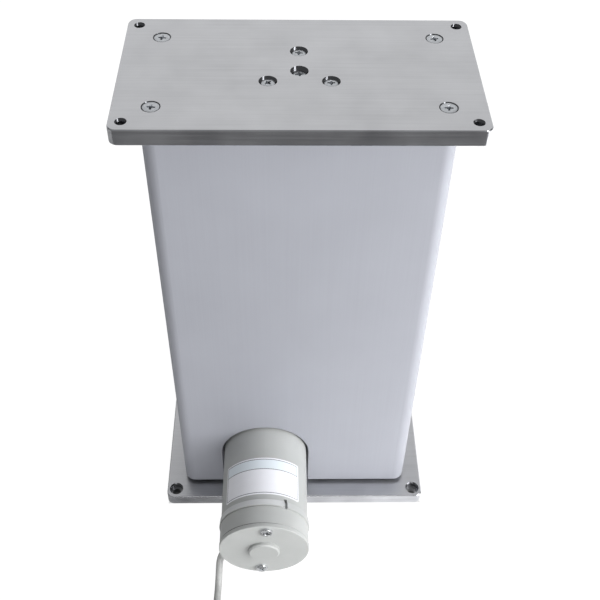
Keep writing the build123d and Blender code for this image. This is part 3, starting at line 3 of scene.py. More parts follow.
import bmesh
import bpy
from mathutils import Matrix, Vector


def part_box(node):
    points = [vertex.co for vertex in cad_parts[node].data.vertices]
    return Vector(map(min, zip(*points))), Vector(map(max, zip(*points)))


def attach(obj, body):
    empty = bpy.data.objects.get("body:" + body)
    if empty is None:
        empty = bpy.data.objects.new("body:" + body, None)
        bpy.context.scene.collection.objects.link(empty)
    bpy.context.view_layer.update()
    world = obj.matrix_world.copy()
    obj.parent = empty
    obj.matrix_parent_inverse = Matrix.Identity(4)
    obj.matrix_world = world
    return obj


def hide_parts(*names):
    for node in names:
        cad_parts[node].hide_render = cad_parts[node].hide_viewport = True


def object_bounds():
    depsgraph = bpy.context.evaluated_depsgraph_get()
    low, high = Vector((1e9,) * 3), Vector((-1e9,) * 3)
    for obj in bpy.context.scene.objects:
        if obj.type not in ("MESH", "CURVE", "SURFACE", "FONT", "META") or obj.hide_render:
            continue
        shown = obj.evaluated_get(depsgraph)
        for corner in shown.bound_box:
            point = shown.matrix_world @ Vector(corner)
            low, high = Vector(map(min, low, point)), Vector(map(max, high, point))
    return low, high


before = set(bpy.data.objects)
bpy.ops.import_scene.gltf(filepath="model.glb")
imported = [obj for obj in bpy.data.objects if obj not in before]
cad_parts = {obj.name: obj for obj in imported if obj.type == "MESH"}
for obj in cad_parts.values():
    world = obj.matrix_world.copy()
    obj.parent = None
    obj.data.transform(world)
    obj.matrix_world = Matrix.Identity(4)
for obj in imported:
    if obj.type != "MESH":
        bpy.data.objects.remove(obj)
cad_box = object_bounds()

# Camera: held in front of the column and well above it, a little left of its middle, so that the top
# plate, the front wall and the motor's end all show.
CAMERA_SENSOR = 36.0
CAMERA_LENS = 55.986
CAMERA_PLACE = (-0.0095045, -0.4465325, 0.6473250)
CAMERA_TURN = (0.7583089, -0.0132770, -0.0134769)
camera_data = bpy.data.cameras.new("camera")
camera_data.sensor_fit = "HORIZONTAL"
camera_data.sensor_width = CAMERA_SENSOR
camera_data.lens = CAMERA_LENS
camera = bpy.data.objects.new("camera", camera_data)
camera.location = CAMERA_PLACE
camera.rotation_euler = CAMERA_TURN
bpy.context.scene.collection.objects.link(camera)
bpy.context.scene.camera = camera

# Studio, in metres: a pale floor and white walls for the camera, a white table that only throws light back,
# and a dim room with a pale backdrop behind. A key light and a high lamp stand to the right, a large soft
# light behind and a small one in front.
WHITE = "#FFFFFF"
WALL_REACH = 5.0
FLOOR_PAPER = "#5A5A5A"
FLOOR_DROP = 0.0004
FLOOR_GLOW = 0.97
FLOOR_SHADE = 0.02
FLOOR_SHADE_EDGE = 0.003
TABLE_PAPER = "#D0D0D0"
TABLE_DROP = 0.0008
TABLE_X = (-0.90, 0.75)
TABLE_Y = (-0.30, 0.50)
TABLE_GLOW = 1.20
TABLE_GLOW_X = (-0.10, 0.30)
ROOM_LEFT = 0.36
ROOM_RIGHT = 0.40
ROOM_BELOW = 0.6
ROOM_HORIZON = 0.15
BACKDROP = 0.55
BACKDROP_TURN = (0.2, 0.7)
BACKDROP_RISE = (0.1, 0.4)
SOFTBOXES = (
    ("key", (1.15, -0.80, 0.60), 0.9, 26.5),
    ("back", (0.0, 1.30, 1.30), 1.6, 4.8),
    ("front", (0.1, -1.50, 0.35), 0.7, 8.6),
    ("lamp", (1.04, -0.54, 1.58), 0.38, 6.0),
)


def linear(hex_colour):
    """The linear colour of an sRGB hex value, as a shader socket takes it."""
    parts = [int(hex_colour[at:at + 2], 16) / 255 for at in (1, 3, 5)]
    return [*(p / 12.92 if p <= 0.04045 else ((p + 0.055) / 1.055) ** 2.4 for p in parts), 1.0]


def feed(tree, node, inputs):
    """Give a node's inputs their values and links. A node given as a value means its first output in use.

    An input goes by its name, or by its number where several share a name: a Mix has its factor at 0, two
    numbers at 2 and 3 and two colours at 6 and 7, and a Math has what it works on at 0, 1 and 2.
    """
    for name, value in inputs.items():
        if isinstance(value, bpy.types.Node):
            value = next(socket for socket in value.outputs if socket.enabled)
        if isinstance(value, bpy.types.NodeSocket):
            tree.links.new(value, node.inputs[name])
        else:
            node.inputs[name].default_value = value


def add(tree, kind, inputs=None, **settings):
    """Add one node to a tree, with its settings, its input values and the links into it."""
    node = tree.nodes.new(kind)
    for name, value in settings.items():
        setattr(node, name, value)
    feed(tree, node, inputs or {})
    return node


def new_finish(name):
    """A new material, with its node tree and its shader."""
    material = bpy.data.materials.new(name)
    material.use_nodes = True
    return material, material.node_tree, material.node_tree.nodes["Principled BSDF"]


def new_piece(name, mesh):
    """Put a mesh, curve or light into the scene as an object at the origin."""
    piece = bpy.data.objects.new(name, mesh)
    bpy.context.scene.collection.objects.link(piece)
    return piece


def studio_surface(name, spread_x, spread_y, drop, colour, wall=0.0):
    """A level rectangle of plain paper with walls round it, and the paper's node tree and shader."""
    rim = [(spread_x[side], spread_y[end]) for side, end in ((0, 0), (1, 0), (1, 1), (0, 1))]
    low = [(x, y, -drop) for x, y in rim]
    high = [(x, y, wall) for x, y in rim] if wall else []
    sides = [(at, at + 4, (at + 1) % 4 + 4, (at + 1) % 4) for at in range(len(high))]
    mesh = bpy.data.meshes.new(name)
    mesh.from_pydata(low + high, [], [(0, 1, 2, 3), *sides])
    paper, tree, shader = new_finish(name + "_paper")
    feed(tree, shader, {"Base Color": linear(colour), "Roughness": 1.0, "Specular IOR Level": 0.0})
    feed(tree, shader, {"Emission Color": linear(WHITE)})
    mesh.materials.append(paper)
    surface = new_piece(name, mesh)
    return surface, tree, shader


# The floor glows evenly, but for the shade beneath the base plate.
wall_to_wall = (-WALL_REACH, WALL_REACH)
floor, floor_tree, floor_shader = studio_surface(
    "floor", wall_to_wall, wall_to_wall, FLOOR_DROP, FLOOR_PAPER, WALL_REACH
)
floor.visible_diffuse = False
floor.visible_glossy = False
floor.visible_shadow = False
floor_place = add(floor_tree, "ShaderNodeTexCoord").outputs["Object"]
floor_reach = add(floor_tree, "ShaderNodeVectorMath", {0: floor_place}, operation="ABSOLUTE")
plate_edge = {0: floor_reach, 1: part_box("base_plate")[1]}
floor_past = add(floor_tree, "ShaderNodeVectorMath", plate_edge, operation="SUBTRACT")
floor_past = add(floor_tree, "ShaderNodeSeparateXYZ", {0: floor_past}).outputs
floor_ways = {0: floor_past["X"], 1: floor_past["Y"]}
floor_clear = add(floor_tree, "ShaderNodeMath", floor_ways, operation="MAXIMUM")
floor_fade = {"From Min": -FLOOR_SHADE_EDGE, "From Max": 0.0, "To Min": FLOOR_SHADE, "To Max": FLOOR_GLOW}
floor_glow = add(floor_tree, "ShaderNodeMapRange", {"Value": floor_clear, **floor_fade})
feed(floor_tree, floor_shader, {"Emission Strength": floor_glow})

# The table glows more towards its right.
table, table_tree, table_shader = studio_surface("table", TABLE_X, TABLE_Y, TABLE_DROP, TABLE_PAPER)
table.visible_camera = False
table.visible_shadow = False
table_place = add(table_tree, "ShaderNodeTexCoord").outputs["Object"]
table_axes = add(table_tree, "ShaderNodeSeparateXYZ", {0: table_place}).outputs
table_rise = {"From Min": TABLE_GLOW_X[0], "From Max": TABLE_GLOW_X[1], "To Max": TABLE_GLOW}
table_glow = add(table_tree, "ShaderNodeMapRange", {"Value": table_axes["X"], **table_rise})
feed(table_tree, table_shader, {"Emission Strength": table_glow})

# The room is darker below the horizon, and its backdrop is a low band behind.
room = bpy.data.worlds.new("room")
room.use_nodes = True
bpy.context.scene.world = room
room_tree = room.node_tree
room_way = add(room_tree, "ShaderNodeTexCoord").outputs["Generated"]
room_axes = add(room_tree, "ShaderNodeSeparateXYZ", {0: room_way}).outputs
room_sides = {"From Min": -1.0, "To Min": ROOM_LEFT, "To Max": ROOM_RIGHT}
room_level = add(room_tree, "ShaderNodeMapRange", {"Value": room_axes["X"], **room_sides})
room_dip = {"From Min": -ROOM_HORIZON, "From Max": ROOM_HORIZON, "To Min": ROOM_BELOW}
room_shade = add(room_tree, "ShaderNodeMapRange", {"Value": room_axes["Z"], **room_dip})
room_light = add(room_tree, "ShaderNodeMath", {0: room_level, 1: room_shade}, operation="MULTIPLY")
band_sides = {"From Min": BACKDROP_TURN[0], "From Max": BACKDROP_TURN[1]}
band_side = add(room_tree, "ShaderNodeMapRange", {"Value": room_axes["Y"], **band_sides})
band_top = {"From Min": BACKDROP_RISE[0], "From Max": BACKDROP_RISE[1], "To Min": BACKDROP, "To Max": 0.0}
band_rise = add(room_tree, "ShaderNodeMapRange", {"Value": room_axes["Z"], **band_top})
room_parts = {0: band_side, 1: band_rise, 2: room_light}
room_sum = add(room_tree, "ShaderNodeMath", room_parts, operation="MULTIPLY_ADD")
feed(room_tree, room_tree.nodes["Background"], {"Color": linear(WHITE), "Strength": room_sum})

column_middle = (cad_box[0] + cad_box[1]) / 2
for light_name, light_place, light_size, light_power in SOFTBOXES:
    light_data = bpy.data.lights.new(light_name, "AREA")
    light_data.size = light_size
    light_data.energy = light_power
    light = new_piece(light_name, light_data)
    light.location = light_place
    light.rotation_euler = (column_middle - Vector(light_place)).to_track_quat("-Z", "Y").to_euler()
bpy.context.scene.view_settings.view_transform = "Standard"

# Motor cable: a round sheathed lead, 5 mm thick, that leaves the end cap low on its left, drops to the
# floor and runs forwards. The length that isn't in use is wound in two layers and tied.
MM = 0.001
CABLE_D = 5 * MM
CABLE_ROUTE = [
    (-48.861, -115.3, 42.389),
    (-53.649, -115.3, 29.233),
    (-55.4, -116.4, 21.2),
    (-55.9, -118.6, 14.0),
    (-56.3, -121.6, 8.6),
    (-56.6, -126.2, 5.0),
    (-56.9, -132.8, 3.55),
    (-57.3, -142.0, 3.3),
    (-57.9, -153.0, 3.29),
    (-58.3, -169.48, 3.3),
]
COIL_CENTRE = (-24.5, -183.0)
COIL_OUTER_R = 33.8
COIL_LOW_Z = 3.3
COIL_HIGH_Z = 8.3
COIL_PITCH = 5.0
COIL_STEPS = 20
COIL_LOW_TURNS = 2.5
COIL_CLIMB_TURNS = 0.25
COIL_TOP_TURNS = 31 / 12
COIL_START_ANGLE = 180.0
COIL_LEAVE_ANGLE = 300.0
PLUG_ANGLE = 30.0
PLUG_START = 30.0
PLUG_DROP = 1.8
# The stretch from the coil to the plug: shares of its length, and of the drop that is done by then.
CABLE_END = ((0.25, 0.0), (0.5, 0.15), (0.72, 0.9), (0.9, 1.0), (1.0, 1.0))


def coil_points():
    """The turns of the coil: a spiral inwards on the floor, a climb, and a spiral outwards on top."""
    climb_end = COIL_LOW_TURNS + COIL_CLIMB_TURNS
    low_end_r = COIL_OUTER_R - COIL_PITCH * COIL_LOW_TURNS
    top_start_r = COIL_OUTER_R - COIL_PITCH * COIL_TOP_TURNS
    points = []
    for step in range(1, round((climb_end + COIL_TOP_TURNS) * COIL_STEPS) + 1):
        turns = step / COIL_STEPS
        climbed = min(max((turns - COIL_LOW_TURNS) / COIL_CLIMB_TURNS, 0.0), 1.0)
        radius = COIL_OUTER_R - COIL_PITCH * min(turns, COIL_LOW_TURNS)
        radius += (top_start_r - low_end_r) * climbed + COIL_PITCH * max(turns - climb_end, 0.0)
        angle = radians(COIL_START_ANGLE) + 2 * pi * turns
        reach = radius / cos(pi / COIL_STEPS)
        height = COIL_LOW_Z + (COIL_HIGH_Z - COIL_LOW_Z) * climbed
        points.append((COIL_CENTRE[0] + reach * cos(angle), COIL_CENTRE[1] + reach * sin(angle), height))
    return points


leave_x = COIL_CENTRE[0] + COIL_OUTER_R * cos(radians(COIL_LEAVE_ANGLE))
leave_y = COIL_CENTRE[1] + COIL_OUTER_R * sin(radians(COIL_LEAVE_ANGLE))
cable_points = CABLE_ROUTE + coil_points()
for share, fall in CABLE_END:
    end_x = leave_x + share * PLUG_START * cos(radians(PLUG_ANGLE))
    end_y = leave_y + share * PLUG_START * sin(radians(PLUG_ANGLE))
    cable_points.append((end_x, end_y, COIL_HIGH_Z - fall * PLUG_DROP))

cable_curve = bpy.data.curves.new("motor_cable", "CURVE")
cable_curve.dimensions = "3D"
cable_line = cable_curve.splines.new("NURBS")
cable_line.points.add(len(cable_points) - 1)
for control, (x, y, z) in zip(cable_line.points, cable_points):
    control.co = (x * MM, y * MM, z * MM, 1.0)
cable_line.order_u = 3
cable_line.use_endpoint_u = True
cable_line.resolution_u = 8
cable_curve.bevel_depth = CABLE_D / 2
cable_curve.bevel_resolution = 6
cable_curve.use_fill_caps = True
motor_cable = new_piece("motor_cable", cable_curve)

# The middle of a noise, which a finish spreads over the whole of its two tones.
GRAIN_SPREAD = {"From Min": 0.3, "From Max": 0.7}


def surface_finish(name, dark, light, grain, roughness, bump, metallic=0.0):
    """A finish whose tone drifts between two colours over a grain, which also moves the roughness.

    The grain is one size in mm or a size for each axis, and stands as high as the bump, in mm.
    """
    material, tree, shader = new_finish(name)
    place = add(tree, "ShaderNodeTexCoord").outputs["Object"]
    scale = [1 / (size * MM) for size in (grain if isinstance(grain, tuple) else (grain,) * 3)]
    spread = add(tree, "ShaderNodeMapping", {"Vector": place, "Scale": scale})
    speck = add(tree, "ShaderNodeTexNoise", {"Vector": spread, "Scale": 1.0, "Detail": 3.0})
    even = add(tree, "ShaderNodeMapRange", {"Value": speck, **GRAIN_SPREAD})
    tone = add(tree, "ShaderNodeMix", {0: even, 6: linear(dark), 7: linear(light)}, data_type="RGBA")
    dull = add(tree, "ShaderNodeMapRange", {"Value": even, "To Min": roughness[0], "To Max": roughness[1]})
    relief = add(tree, "ShaderNodeBump", {"Strength": 1.0, "Distance": bump * MM, "Height": speck})
    feed(tree, shader, {"Metallic": metallic, "Base Color": tone, "Roughness": dull, "Normal": relief})
    return material


# PVC sheath, extruded: matt pale grey with a faint drift of tone and a skin that isn't quite smooth.
sheath_pvc = surface_finish(
    "pale_grey_pvc", "#9A9B9A", "#A7A8A7", grain=3.0, roughness=(0.42, 0.56), bump=0.02
)
cable_curve.materials.append(sheath_pvc)
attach(motor_cable, "base")
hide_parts("cable_run", "cable_coil", "cable_end")


# Tie and plug: a nylon strap round the coil, and a moulded round plug with a plated shell and four
# turned brass pins, gold flashed, on the cable's end.
def dress(material, *names):
    """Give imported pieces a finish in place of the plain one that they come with."""
    for name in names:
        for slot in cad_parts[name].material_slots:
            slot.material = material


# Black nylon and PVC, moulded: near black, with a dull skin that takes broad soft lights.
moulded_black = surface_finish(
    "black_moulded_plastic", "#131415", "#1E2022", grain=1.0, roughness=(0.38, 0.52), bump=0.01
)
dress(moulded_black, "coil_tie", "plug_body")
# Nickel plate on a turned shell: bright, with fine turning lines.
plug_nickel = surface_finish(
    "nickel_plate", "#A9AAA9", "#C6C7C5", grain=0.4, roughness=(0.18, 0.28), bump=0.004, metallic=1.0
)
dress(plug_nickel, "plug_shell")
# Gold flash on brass pins: warm yellow and smooth.
pin_gold = surface_finish(
    "gold_flash", "#C79B45", "#DDB661", grain=0.5, roughness=(0.16, 0.26), bump=0.002, metallic=1.0
)
dress(pin_gold, "plug_pins")

# Base plate: a rectangle of aluminium plate, milled all over, with a sunk mounting hole near each corner.
# The tube and the gearbox stand on it and are screwed from beneath.
MILL_FEED = 1.5
MILL_STREAK = 70.0
MILL_CLOUD = 26.0
MILL_CLOUD_SHARE = 0.6
MILL_MARK = 0.002
FACE_LEVEL = 0.9
FACE_TONES = ("#B4B5B8", "#C6C7CA")
FACE_ROUGHNESS = (0.34, 0.44)
SIDE_REACH = 1.6
SIDE_TONES = ("#A2A3A7", "#CDCED2")
SIDE_ROUGHNESS = 0.18
# Painted shade: the walls of the holes and the countersinks take this dark grey.
HOLE_PAINTED_SHADE = "#5A5B5E"
HOLE_LEAN = 0.9
HOLE_UPRIGHT = 0.3
MOUNT_REACH = 11.0
RIM_DEPTH = 2.0
# Two noises mixed stay nearer to their middle than one.
MIXED_SPREAD = {"From Min": 0.33, "From Max": 0.67}


def plate_masks(tree, place, facing, corner):
    """Masks of a plate's two faces, of its holes, and of the hole walls that catch the light.

    Those are the upright walls of the sunk holes, and the top of the walls of the mounting holes.
    """
    facing = add(tree, "ShaderNodeSeparateXYZ", {0: facing}).outputs
    level = add(tree, "ShaderNodeMath", {0: facing["Z"]}, operation="ABSOLUTE")
    face = add(tree, "ShaderNodeMath", {0: level, 1: FACE_LEVEL}, operation="GREATER_THAN")
    upright = add(tree, "ShaderNodeMath", {0: level, 1: HOLE_UPRIGHT}, operation="LESS_THAN")
    reach = add(tree, "ShaderNodeVectorMath", {0: place}, operation="ABSOLUTE")
    inside = add(tree, "ShaderNodeVectorMath", {0: corner, 1: reach}, operation="SUBTRACT")
    inside = add(tree, "ShaderNodeSeparateXYZ", {0: inside}).outputs
    nearest = add(tree, "ShaderNodeMath", {0: inside["X"], 1: inside["Y"]}, operation="MINIMUM")
    hole = add(tree, "ShaderNodeMath", {0: nearest, 1: SIDE_REACH * MM}, operation="GREATER_THAN")
    sunk = add(tree, "ShaderNodeMath", {0: nearest, 1: MOUNT_REACH * MM}, operation="GREATER_THAN")
    rim = add(tree, "ShaderNodeMath", {0: inside["Z"], 1: RIM_DEPTH * MM}, operation="LESS_THAN")
    bright = add(tree, "ShaderNodeMath", {0: sunk, 1: rim}, operation="MAXIMUM")
    bright = add(tree, "ShaderNodeMath", {0: bright, 1: hole}, operation="MULTIPLY")
    bright = add(tree, "ShaderNodeMath", {0: bright, 1: upright}, operation="MULTIPLY")
    return face, hole, bright


def milled_aluminium(name, corner):
    """Milled plate: streaks along the feed, in X, over slow clouds where the cutter dulled the metal.

    Its sides are cut by the edge of the tool and come out smoother than its two faces. Its holes are
    darkened with painted shade, and their walls shade as if they leant, as walls with a broken rim do.
    """
    material, tree, shader = new_finish(name)
    place = add(tree, "ShaderNodeTexCoord").outputs["Object"]
    geometry = add(tree, "ShaderNodeNewGeometry").outputs
    face, hole, bright = plate_masks(tree, place, geometry["True Normal"], corner)
    along_feed = [1 / (size * MM) for size in (MILL_STREAK, MILL_FEED, MILL_FEED)]
    along = add(tree, "ShaderNodeMapping", {"Vector": place, "Scale": along_feed})
    streak = add(tree, "ShaderNodeTexNoise", {"Vector": along, "Scale": 1.0, "Detail": 4.0})
    cloud_scale = 1 / (MILL_CLOUD * MM)
    cloud = add(tree, "ShaderNodeTexNoise", {"Vector": place, "Scale": cloud_scale, "Detail": 2.0})
    both = add(tree, "ShaderNodeMix", {0: MILL_CLOUD_SHARE, 2: streak, 3: cloud})
    even = add(tree, "ShaderNodeMapRange", {"Value": both, **MIXED_SPREAD})
    face_tones = {6: linear(FACE_TONES[0]), 7: linear(FACE_TONES[1])}
    face_tone = add(tree, "ShaderNodeMix", {0: even, **face_tones}, data_type="RGBA")
    side_tones = {6: linear(SIDE_TONES[0]), 7: linear(SIDE_TONES[1])}
    side_tone = add(tree, "ShaderNodeMix", {0: even, **side_tones}, data_type="RGBA")
    # Painted shade: the hole walls and countersinks take the dark grey.
    cut_tone = add(tree, "ShaderNodeMix", {0: hole, 6: side_tone, 7: linear(HOLE_PAINTED_SHADE)}, data_type="RGBA")
    tone = add(tree, "ShaderNodeMix", {0: face, 6: cut_tone, 7: face_tone}, data_type="RGBA")
    face_dulls = {"To Min": FACE_ROUGHNESS[0], "To Max": FACE_ROUGHNESS[1]}
    face_dull = add(tree, "ShaderNodeMapRange", {"Value": even, **face_dulls})
    dull = add(tree, "ShaderNodeMix", {0: face, 2: SIDE_ROUGHNESS, 3: face_dull})
    lean = add(tree, "ShaderNodeMath", {0: bright, 1: HOLE_LEAN}, operation="MULTIPLY")
    up = add(tree, "ShaderNodeCombineXYZ", {"Z": lean})
    leant = add(tree, "ShaderNodeVectorMath", {0: geometry["Normal"], 1: up}, operation="ADD")
    leant = add(tree, "ShaderNodeVectorMath", {0: leant}, operation="NORMALIZE")
    marks = {"Strength": 1.0, "Distance": MILL_MARK * MM, "Height": streak, "Normal": leant}
    relief = add(tree, "ShaderNodeBump", marks)
    feed(tree, shader, {"Metallic": 1.0, "Base Color": tone, "Roughness": dull, "Normal": relief})
    return material


# Milled aluminium: mid grey metal, its shine drawn out along the feed marks.
base_aluminium = milled_aluminium("milled_base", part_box("base_plate")[1])
dress(base_aluminium, "base_plate")

# Countersunk screws: four hold the inner tube and four the gear housing, all driven from beneath the
# base plate. Zinc-plated steel, cold headed, with a cross recess.
PORT_HEAD_D = 9.2 * MM
FOOT_HEAD_D = 9.5 * MM
PORT_SHANK_D = 5.0 * MM
PORT_RIM = 0.25 * MM
PORT_EDGE = 0.15 * MM
LATHE_STEPS = 32
LATHE_SEAM = 1e-6
SCREW_SHARP = radians(32)
TIP_WIDTH = 0.4
TIP_RISE = 0.15
EDGE_TURN = 0.29
# A screw's outline from its tip to the middle of its head, out from the axis and up from the head's top:
# how many times each size goes into each corner.
SCREW_OUTLINE = (
    ({}, {"Length": -1.0}),
    ({"Shank diameter": TIP_WIDTH}, {"Length": -1.0}),
    ({"Shank diameter": 0.5}, {"Length": -1.0, "Shank diameter": TIP_RISE}),
    ({"Shank diameter": 0.5}, {"Head height": -1.0}),
    ({"Head diameter": 0.5}, {"Rim height": -1.0}),
    ({"Head diameter": 0.5}, {"Edge": -1.0}),
    ({"Head diameter": 0.5, "Edge": -EDGE_TURN}, {"Edge": -EDGE_TURN}),
    ({"Head diameter": 0.5, "Edge": -1.0}, {}),
    ({}, {}),
)
# The recess, in shares of the head's diameter or of its own depth: two crossed wings and a wider middle.
RECESS_DEPTH = 0.35
RECESS_SUNK = 0.85
RECESS_REACH = 0.28
RECESS_TAPER = 0.5
RECESS_WINGS = ((1.0, 0.24, 1.0), (0.24, 1.0, 1.0), (0.48, 0.48, 1.2))


def cross_head_tree():
    """Screws with a cross recess, one on each given point, heads along an axis and turned at random."""
    tree = bpy.data.node_groups.new("cross_head_screws", "GeometryNodeTree")
    kinds = {"Places": "Geometry", "Axis": "Vector", "Turn seed": "Int", "Material": "Material"}
    sizes = ("Head diameter", "Head height", "Rim height", "Edge", "Shank diameter", "Length")
    for name in ("Places", *sizes, "Axis", "Turn seed", "Material"):
        kind = "NodeSocket" + kinds.get(name, "Float")
        tree.interface.new_socket(name, in_out="INPUT", socket_type=kind)
    tree.interface.new_socket("Screws", in_out="OUTPUT", socket_type="NodeSocketGeometry")
    given = add(tree, "NodeGroupInput").outputs

    # The blank is turned: each row of a sheet is a corner of the outline, and each column a step round.
    rows = len(SCREW_OUTLINE)
    sheet = add(tree, "GeometryNodeMeshGrid", {"Vertices X": LATHE_STEPS + 1, "Vertices Y": rows})
    index = add(tree, "GeometryNodeInputIndex")
    row = add(tree, "ShaderNodeMath", {0: index, 1: rows}, operation="MODULO")
    column = add(tree, "ShaderNodeMath", {0: index, 1: rows}, operation="DIVIDE")
    column = add(tree, "ShaderNodeMath", {0: column}, operation="FLOOR")
    angle = add(tree, "ShaderNodeMath", {0: column, 1: 2 * pi / LATHE_STEPS}, operation="MULTIPLY")
    outline = []
    for part in range(2):
        corner = add(tree, "GeometryNodeIndexSwitch", {"Index": row}, data_type="FLOAT")
        for _ in SCREW_OUTLINE[2:]:
            corner.index_switch_items.new()
        for at, corner_sizes in enumerate(SCREW_OUTLINE, start=1):
            total = 0.0
            for size, times in corner_sizes[part].items():
                terms = {0: given[size], 1: times, 2: total}
                total = add(tree, "ShaderNodeMath", terms, operation="MULTIPLY_ADD")
            feed(tree, corner, {at: total})
        outline.append(corner)
    spot = {"Z": outline[1]}
    for axis, turned in (("X", "COSINE"), ("Y", "SINE")):
        share = add(tree, "ShaderNodeMath", {0: angle}, operation=turned)
        spot[axis] = add(tree, "ShaderNodeMath", {0: outline[0], 1: share}, operation="MULTIPLY")
    spot = add(tree, "ShaderNodeCombineXYZ", spot)
    wrapped = add(tree, "GeometryNodeSetPosition", {"Geometry": sheet, "Position": spot})
    blank = add(tree, "GeometryNodeMergeByDistance", {"Geometry": wrapped, "Distance": LATHE_SEAM})

    # The recess is punched by a square wedge, drawn out one way, the other way and in the middle.
    depth = add(tree, "ShaderNodeMath", {0: given["Head diameter"], 1: RECESS_DEPTH}, operation="MULTIPLY")
    sunk = add(tree, "ShaderNodeMath", {0: depth, 1: -RECESS_SUNK}, operation="MULTIPLY")
    sunk = add(tree, "ShaderNodeCombineXYZ", {"Z": sunk})
    corner_reach = {0: given["Head diameter"], 1: RECESS_REACH * sqrt(2)}
    wide = add(tree, "ShaderNodeMath", corner_reach, operation="MULTIPLY")
    narrow = add(tree, "ShaderNodeMath", {0: wide, 1: RECESS_TAPER}, operation="MULTIPLY")
    wedge_sizes = {"Vertices": 4, "Radius Top": wide, "Radius Bottom": narrow, "Depth": depth}
    wedge = add(tree, "GeometryNodeMeshCone", wedge_sizes)
    square = add(tree, "GeometryNodeTransform", {"Geometry": wedge, "Rotation": (0, 0, pi / 4)})
    cut = add(tree, "GeometryNodeMeshBoolean", {"Mesh 1": blank}, operation="DIFFERENCE", solver="EXACT")
    for wing in RECESS_WINGS:
        punch = {"Geometry": square, "Scale": wing, "Translation": sunk}
        feed(tree, cut, {"Mesh 2": add(tree, "GeometryNodeTransform", punch)})

    # Each screw stops at a turn of its own, so the highest random value, at 3, is a whole turn.
    turn = add(tree, "FunctionNodeRandomValue", {3: 2 * pi, "Seed": given["Turn seed"]})
    spin = add(tree, "FunctionNodeAxisAngleToRotation", {"Axis": (0, 0, 1), "Angle": turn})
    aimed = {"Rotation": spin, "Vector": given["Axis"]}
    aim = add(tree, "FunctionNodeAlignRotationToVector", aimed, axis="Z")
    driven = {"Points": given["Places"], "Instance": cut, "Rotation": aim}
    placed = add(tree, "GeometryNodeInstanceOnPoints", driven)
    solid = add(tree, "GeometryNodeRealizeInstances", {0: placed})
    plated = add(tree, "GeometryNodeSetMaterial", {"Geometry": solid, "Material": given["Material"]})
    add(tree, "NodeGroupOutput", {"Screws": plated})
    return tree


cross_heads = cross_head_tree()
# Zinc plate on cold-headed steel: bright and slightly blue, with small dull patches.
zinc_plate = surface_finish(
    "zinc_plated_steel", "#A6A9AD", "#C4C7CB", grain=0.9, roughness=(0.28, 0.40), bump=0.004, metallic=1.0
)


def drive_screws(node, body, places, axis, seed, finish=zinc_plate, **sizes):
    """Put cross-head screws on the given places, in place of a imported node's plain ones."""
    points = bpy.data.meshes.new(node + "_points")
    points.from_pydata(places, [], [])
    screws = new_piece(node + "_cross_head", points)
    modifier = screws.modifiers.new("cross_heads", "NODES")
    modifier.node_group = cross_heads
    values = {"Axis": axis, "Turn seed": seed, "Material": finish}
    values.update({name.replace("_", " ").capitalize(): size for name, size in sizes.items()})
    for item in cross_heads.interface.items_tree:
        if item.in_out == "INPUT" and item.name in values:
            modifier[item.identifier] = values[item.name]
    shaped = screws.evaluated_get(bpy.context.evaluated_depsgraph_get())
    screws_mesh = bpy.data.meshes.new_from_object(shaped)
    screws.modifiers.clear()
    screws.data = screws_mesh
    screws_mesh.shade_smooth()
    screws_mesh.set_sharp_from_angle(angle=SCREW_SHARP)
    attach(screws, body)
    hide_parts(node)


def corners_of(node, head_d, height):
    """Where four screws stand: the corners of their node's box, less half a head."""
    low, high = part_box(node)
    inset = head_d / 2
    sides = (low.x + inset, high.x - inset)
    ends = (low.y + inset, high.y - inset)
    return [(x, y, height) for x in sides for y in ends]


for screw_node, head_d, screw_seed in (
    ("base_plate_screws", PORT_HEAD_D, 3),
    ("gear_housing_screws", FOOT_HEAD_D, 5),
):
    low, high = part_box(screw_node)
    drive_screws(
        screw_node,
        "base",
        corners_of(screw_node, head_d, low.z),
        axis=(0, 0, -1),
        seed=screw_seed,
        head_diameter=head_d,
        head_height=PORT_RIM + (head_d - PORT_SHANK_D) / 2,
        rim_height=PORT_RIM,
        edge=PORT_EDGE,
        shank_diameter=PORT_SHANK_D,
        length=high.z - low.z,
    )

# Tubes: two aluminium extrusions, one inside the other, etched and clear anodised. The inner one stands
# on the base plate. The outer one hangs from the top plate and is cut away over the motor.
DIE_LINE = 0.8
DIE_LINE_LENGTH = 160.0
DIE_LINE_HEIGHT = 0.003
ETCH_CLOUD = 45.0
ETCH_CLOUD_SHARE = 0.5
# Clear anodised aluminium: cool satin grey that shows soft shapes and no sharp mirror image, with faint die
# lines along Z under a slow drift of tone. The clear film makes it look half metal, half paint.
TUBE_TONES = ("#9EA0A8", "#A3A5AD")
TUBE_ROUGHNESS = (0.50, 0.56)
TUBE_METALLIC = 0.4
tube_anodised, tube_tree, tube_shader = new_finish("clear_anodised_aluminium")
tube_place = add(tube_tree, "ShaderNodeTexCoord").outputs["Object"]
tube_scale = [1 / (size * MM) for size in (DIE_LINE, DIE_LINE, DIE_LINE_LENGTH)]
tube_along = add(tube_tree, "ShaderNodeMapping", {"Vector": tube_place, "Scale": tube_scale})
tube_line = add(tube_tree, "ShaderNodeTexNoise", {"Vector": tube_along, "Scale": 1.0, "Detail": 2.0})
tube_etch = {"Vector": tube_place, "Scale": 1 / (ETCH_CLOUD * MM), "Detail": 2.0}
tube_cloud = add(tube_tree, "ShaderNodeTexNoise", tube_etch)
tube_both = add(tube_tree, "ShaderNodeMix", {0: ETCH_CLOUD_SHARE, 2: tube_line, 3: tube_cloud})
tube_even = add(tube_tree, "ShaderNodeMapRange", {"Value": tube_both, **MIXED_SPREAD})
tube_tones = {0: tube_even, 6: linear(TUBE_TONES[0]), 7: linear(TUBE_TONES[1])}
tube_tone = add(tube_tree, "ShaderNodeMix", tube_tones, data_type="RGBA")
tube_dulls = {"Value": tube_even, "To Min": TUBE_ROUGHNESS[0], "To Max": TUBE_ROUGHNESS[1]}
tube_dull = add(tube_tree, "ShaderNodeMapRange", tube_dulls)
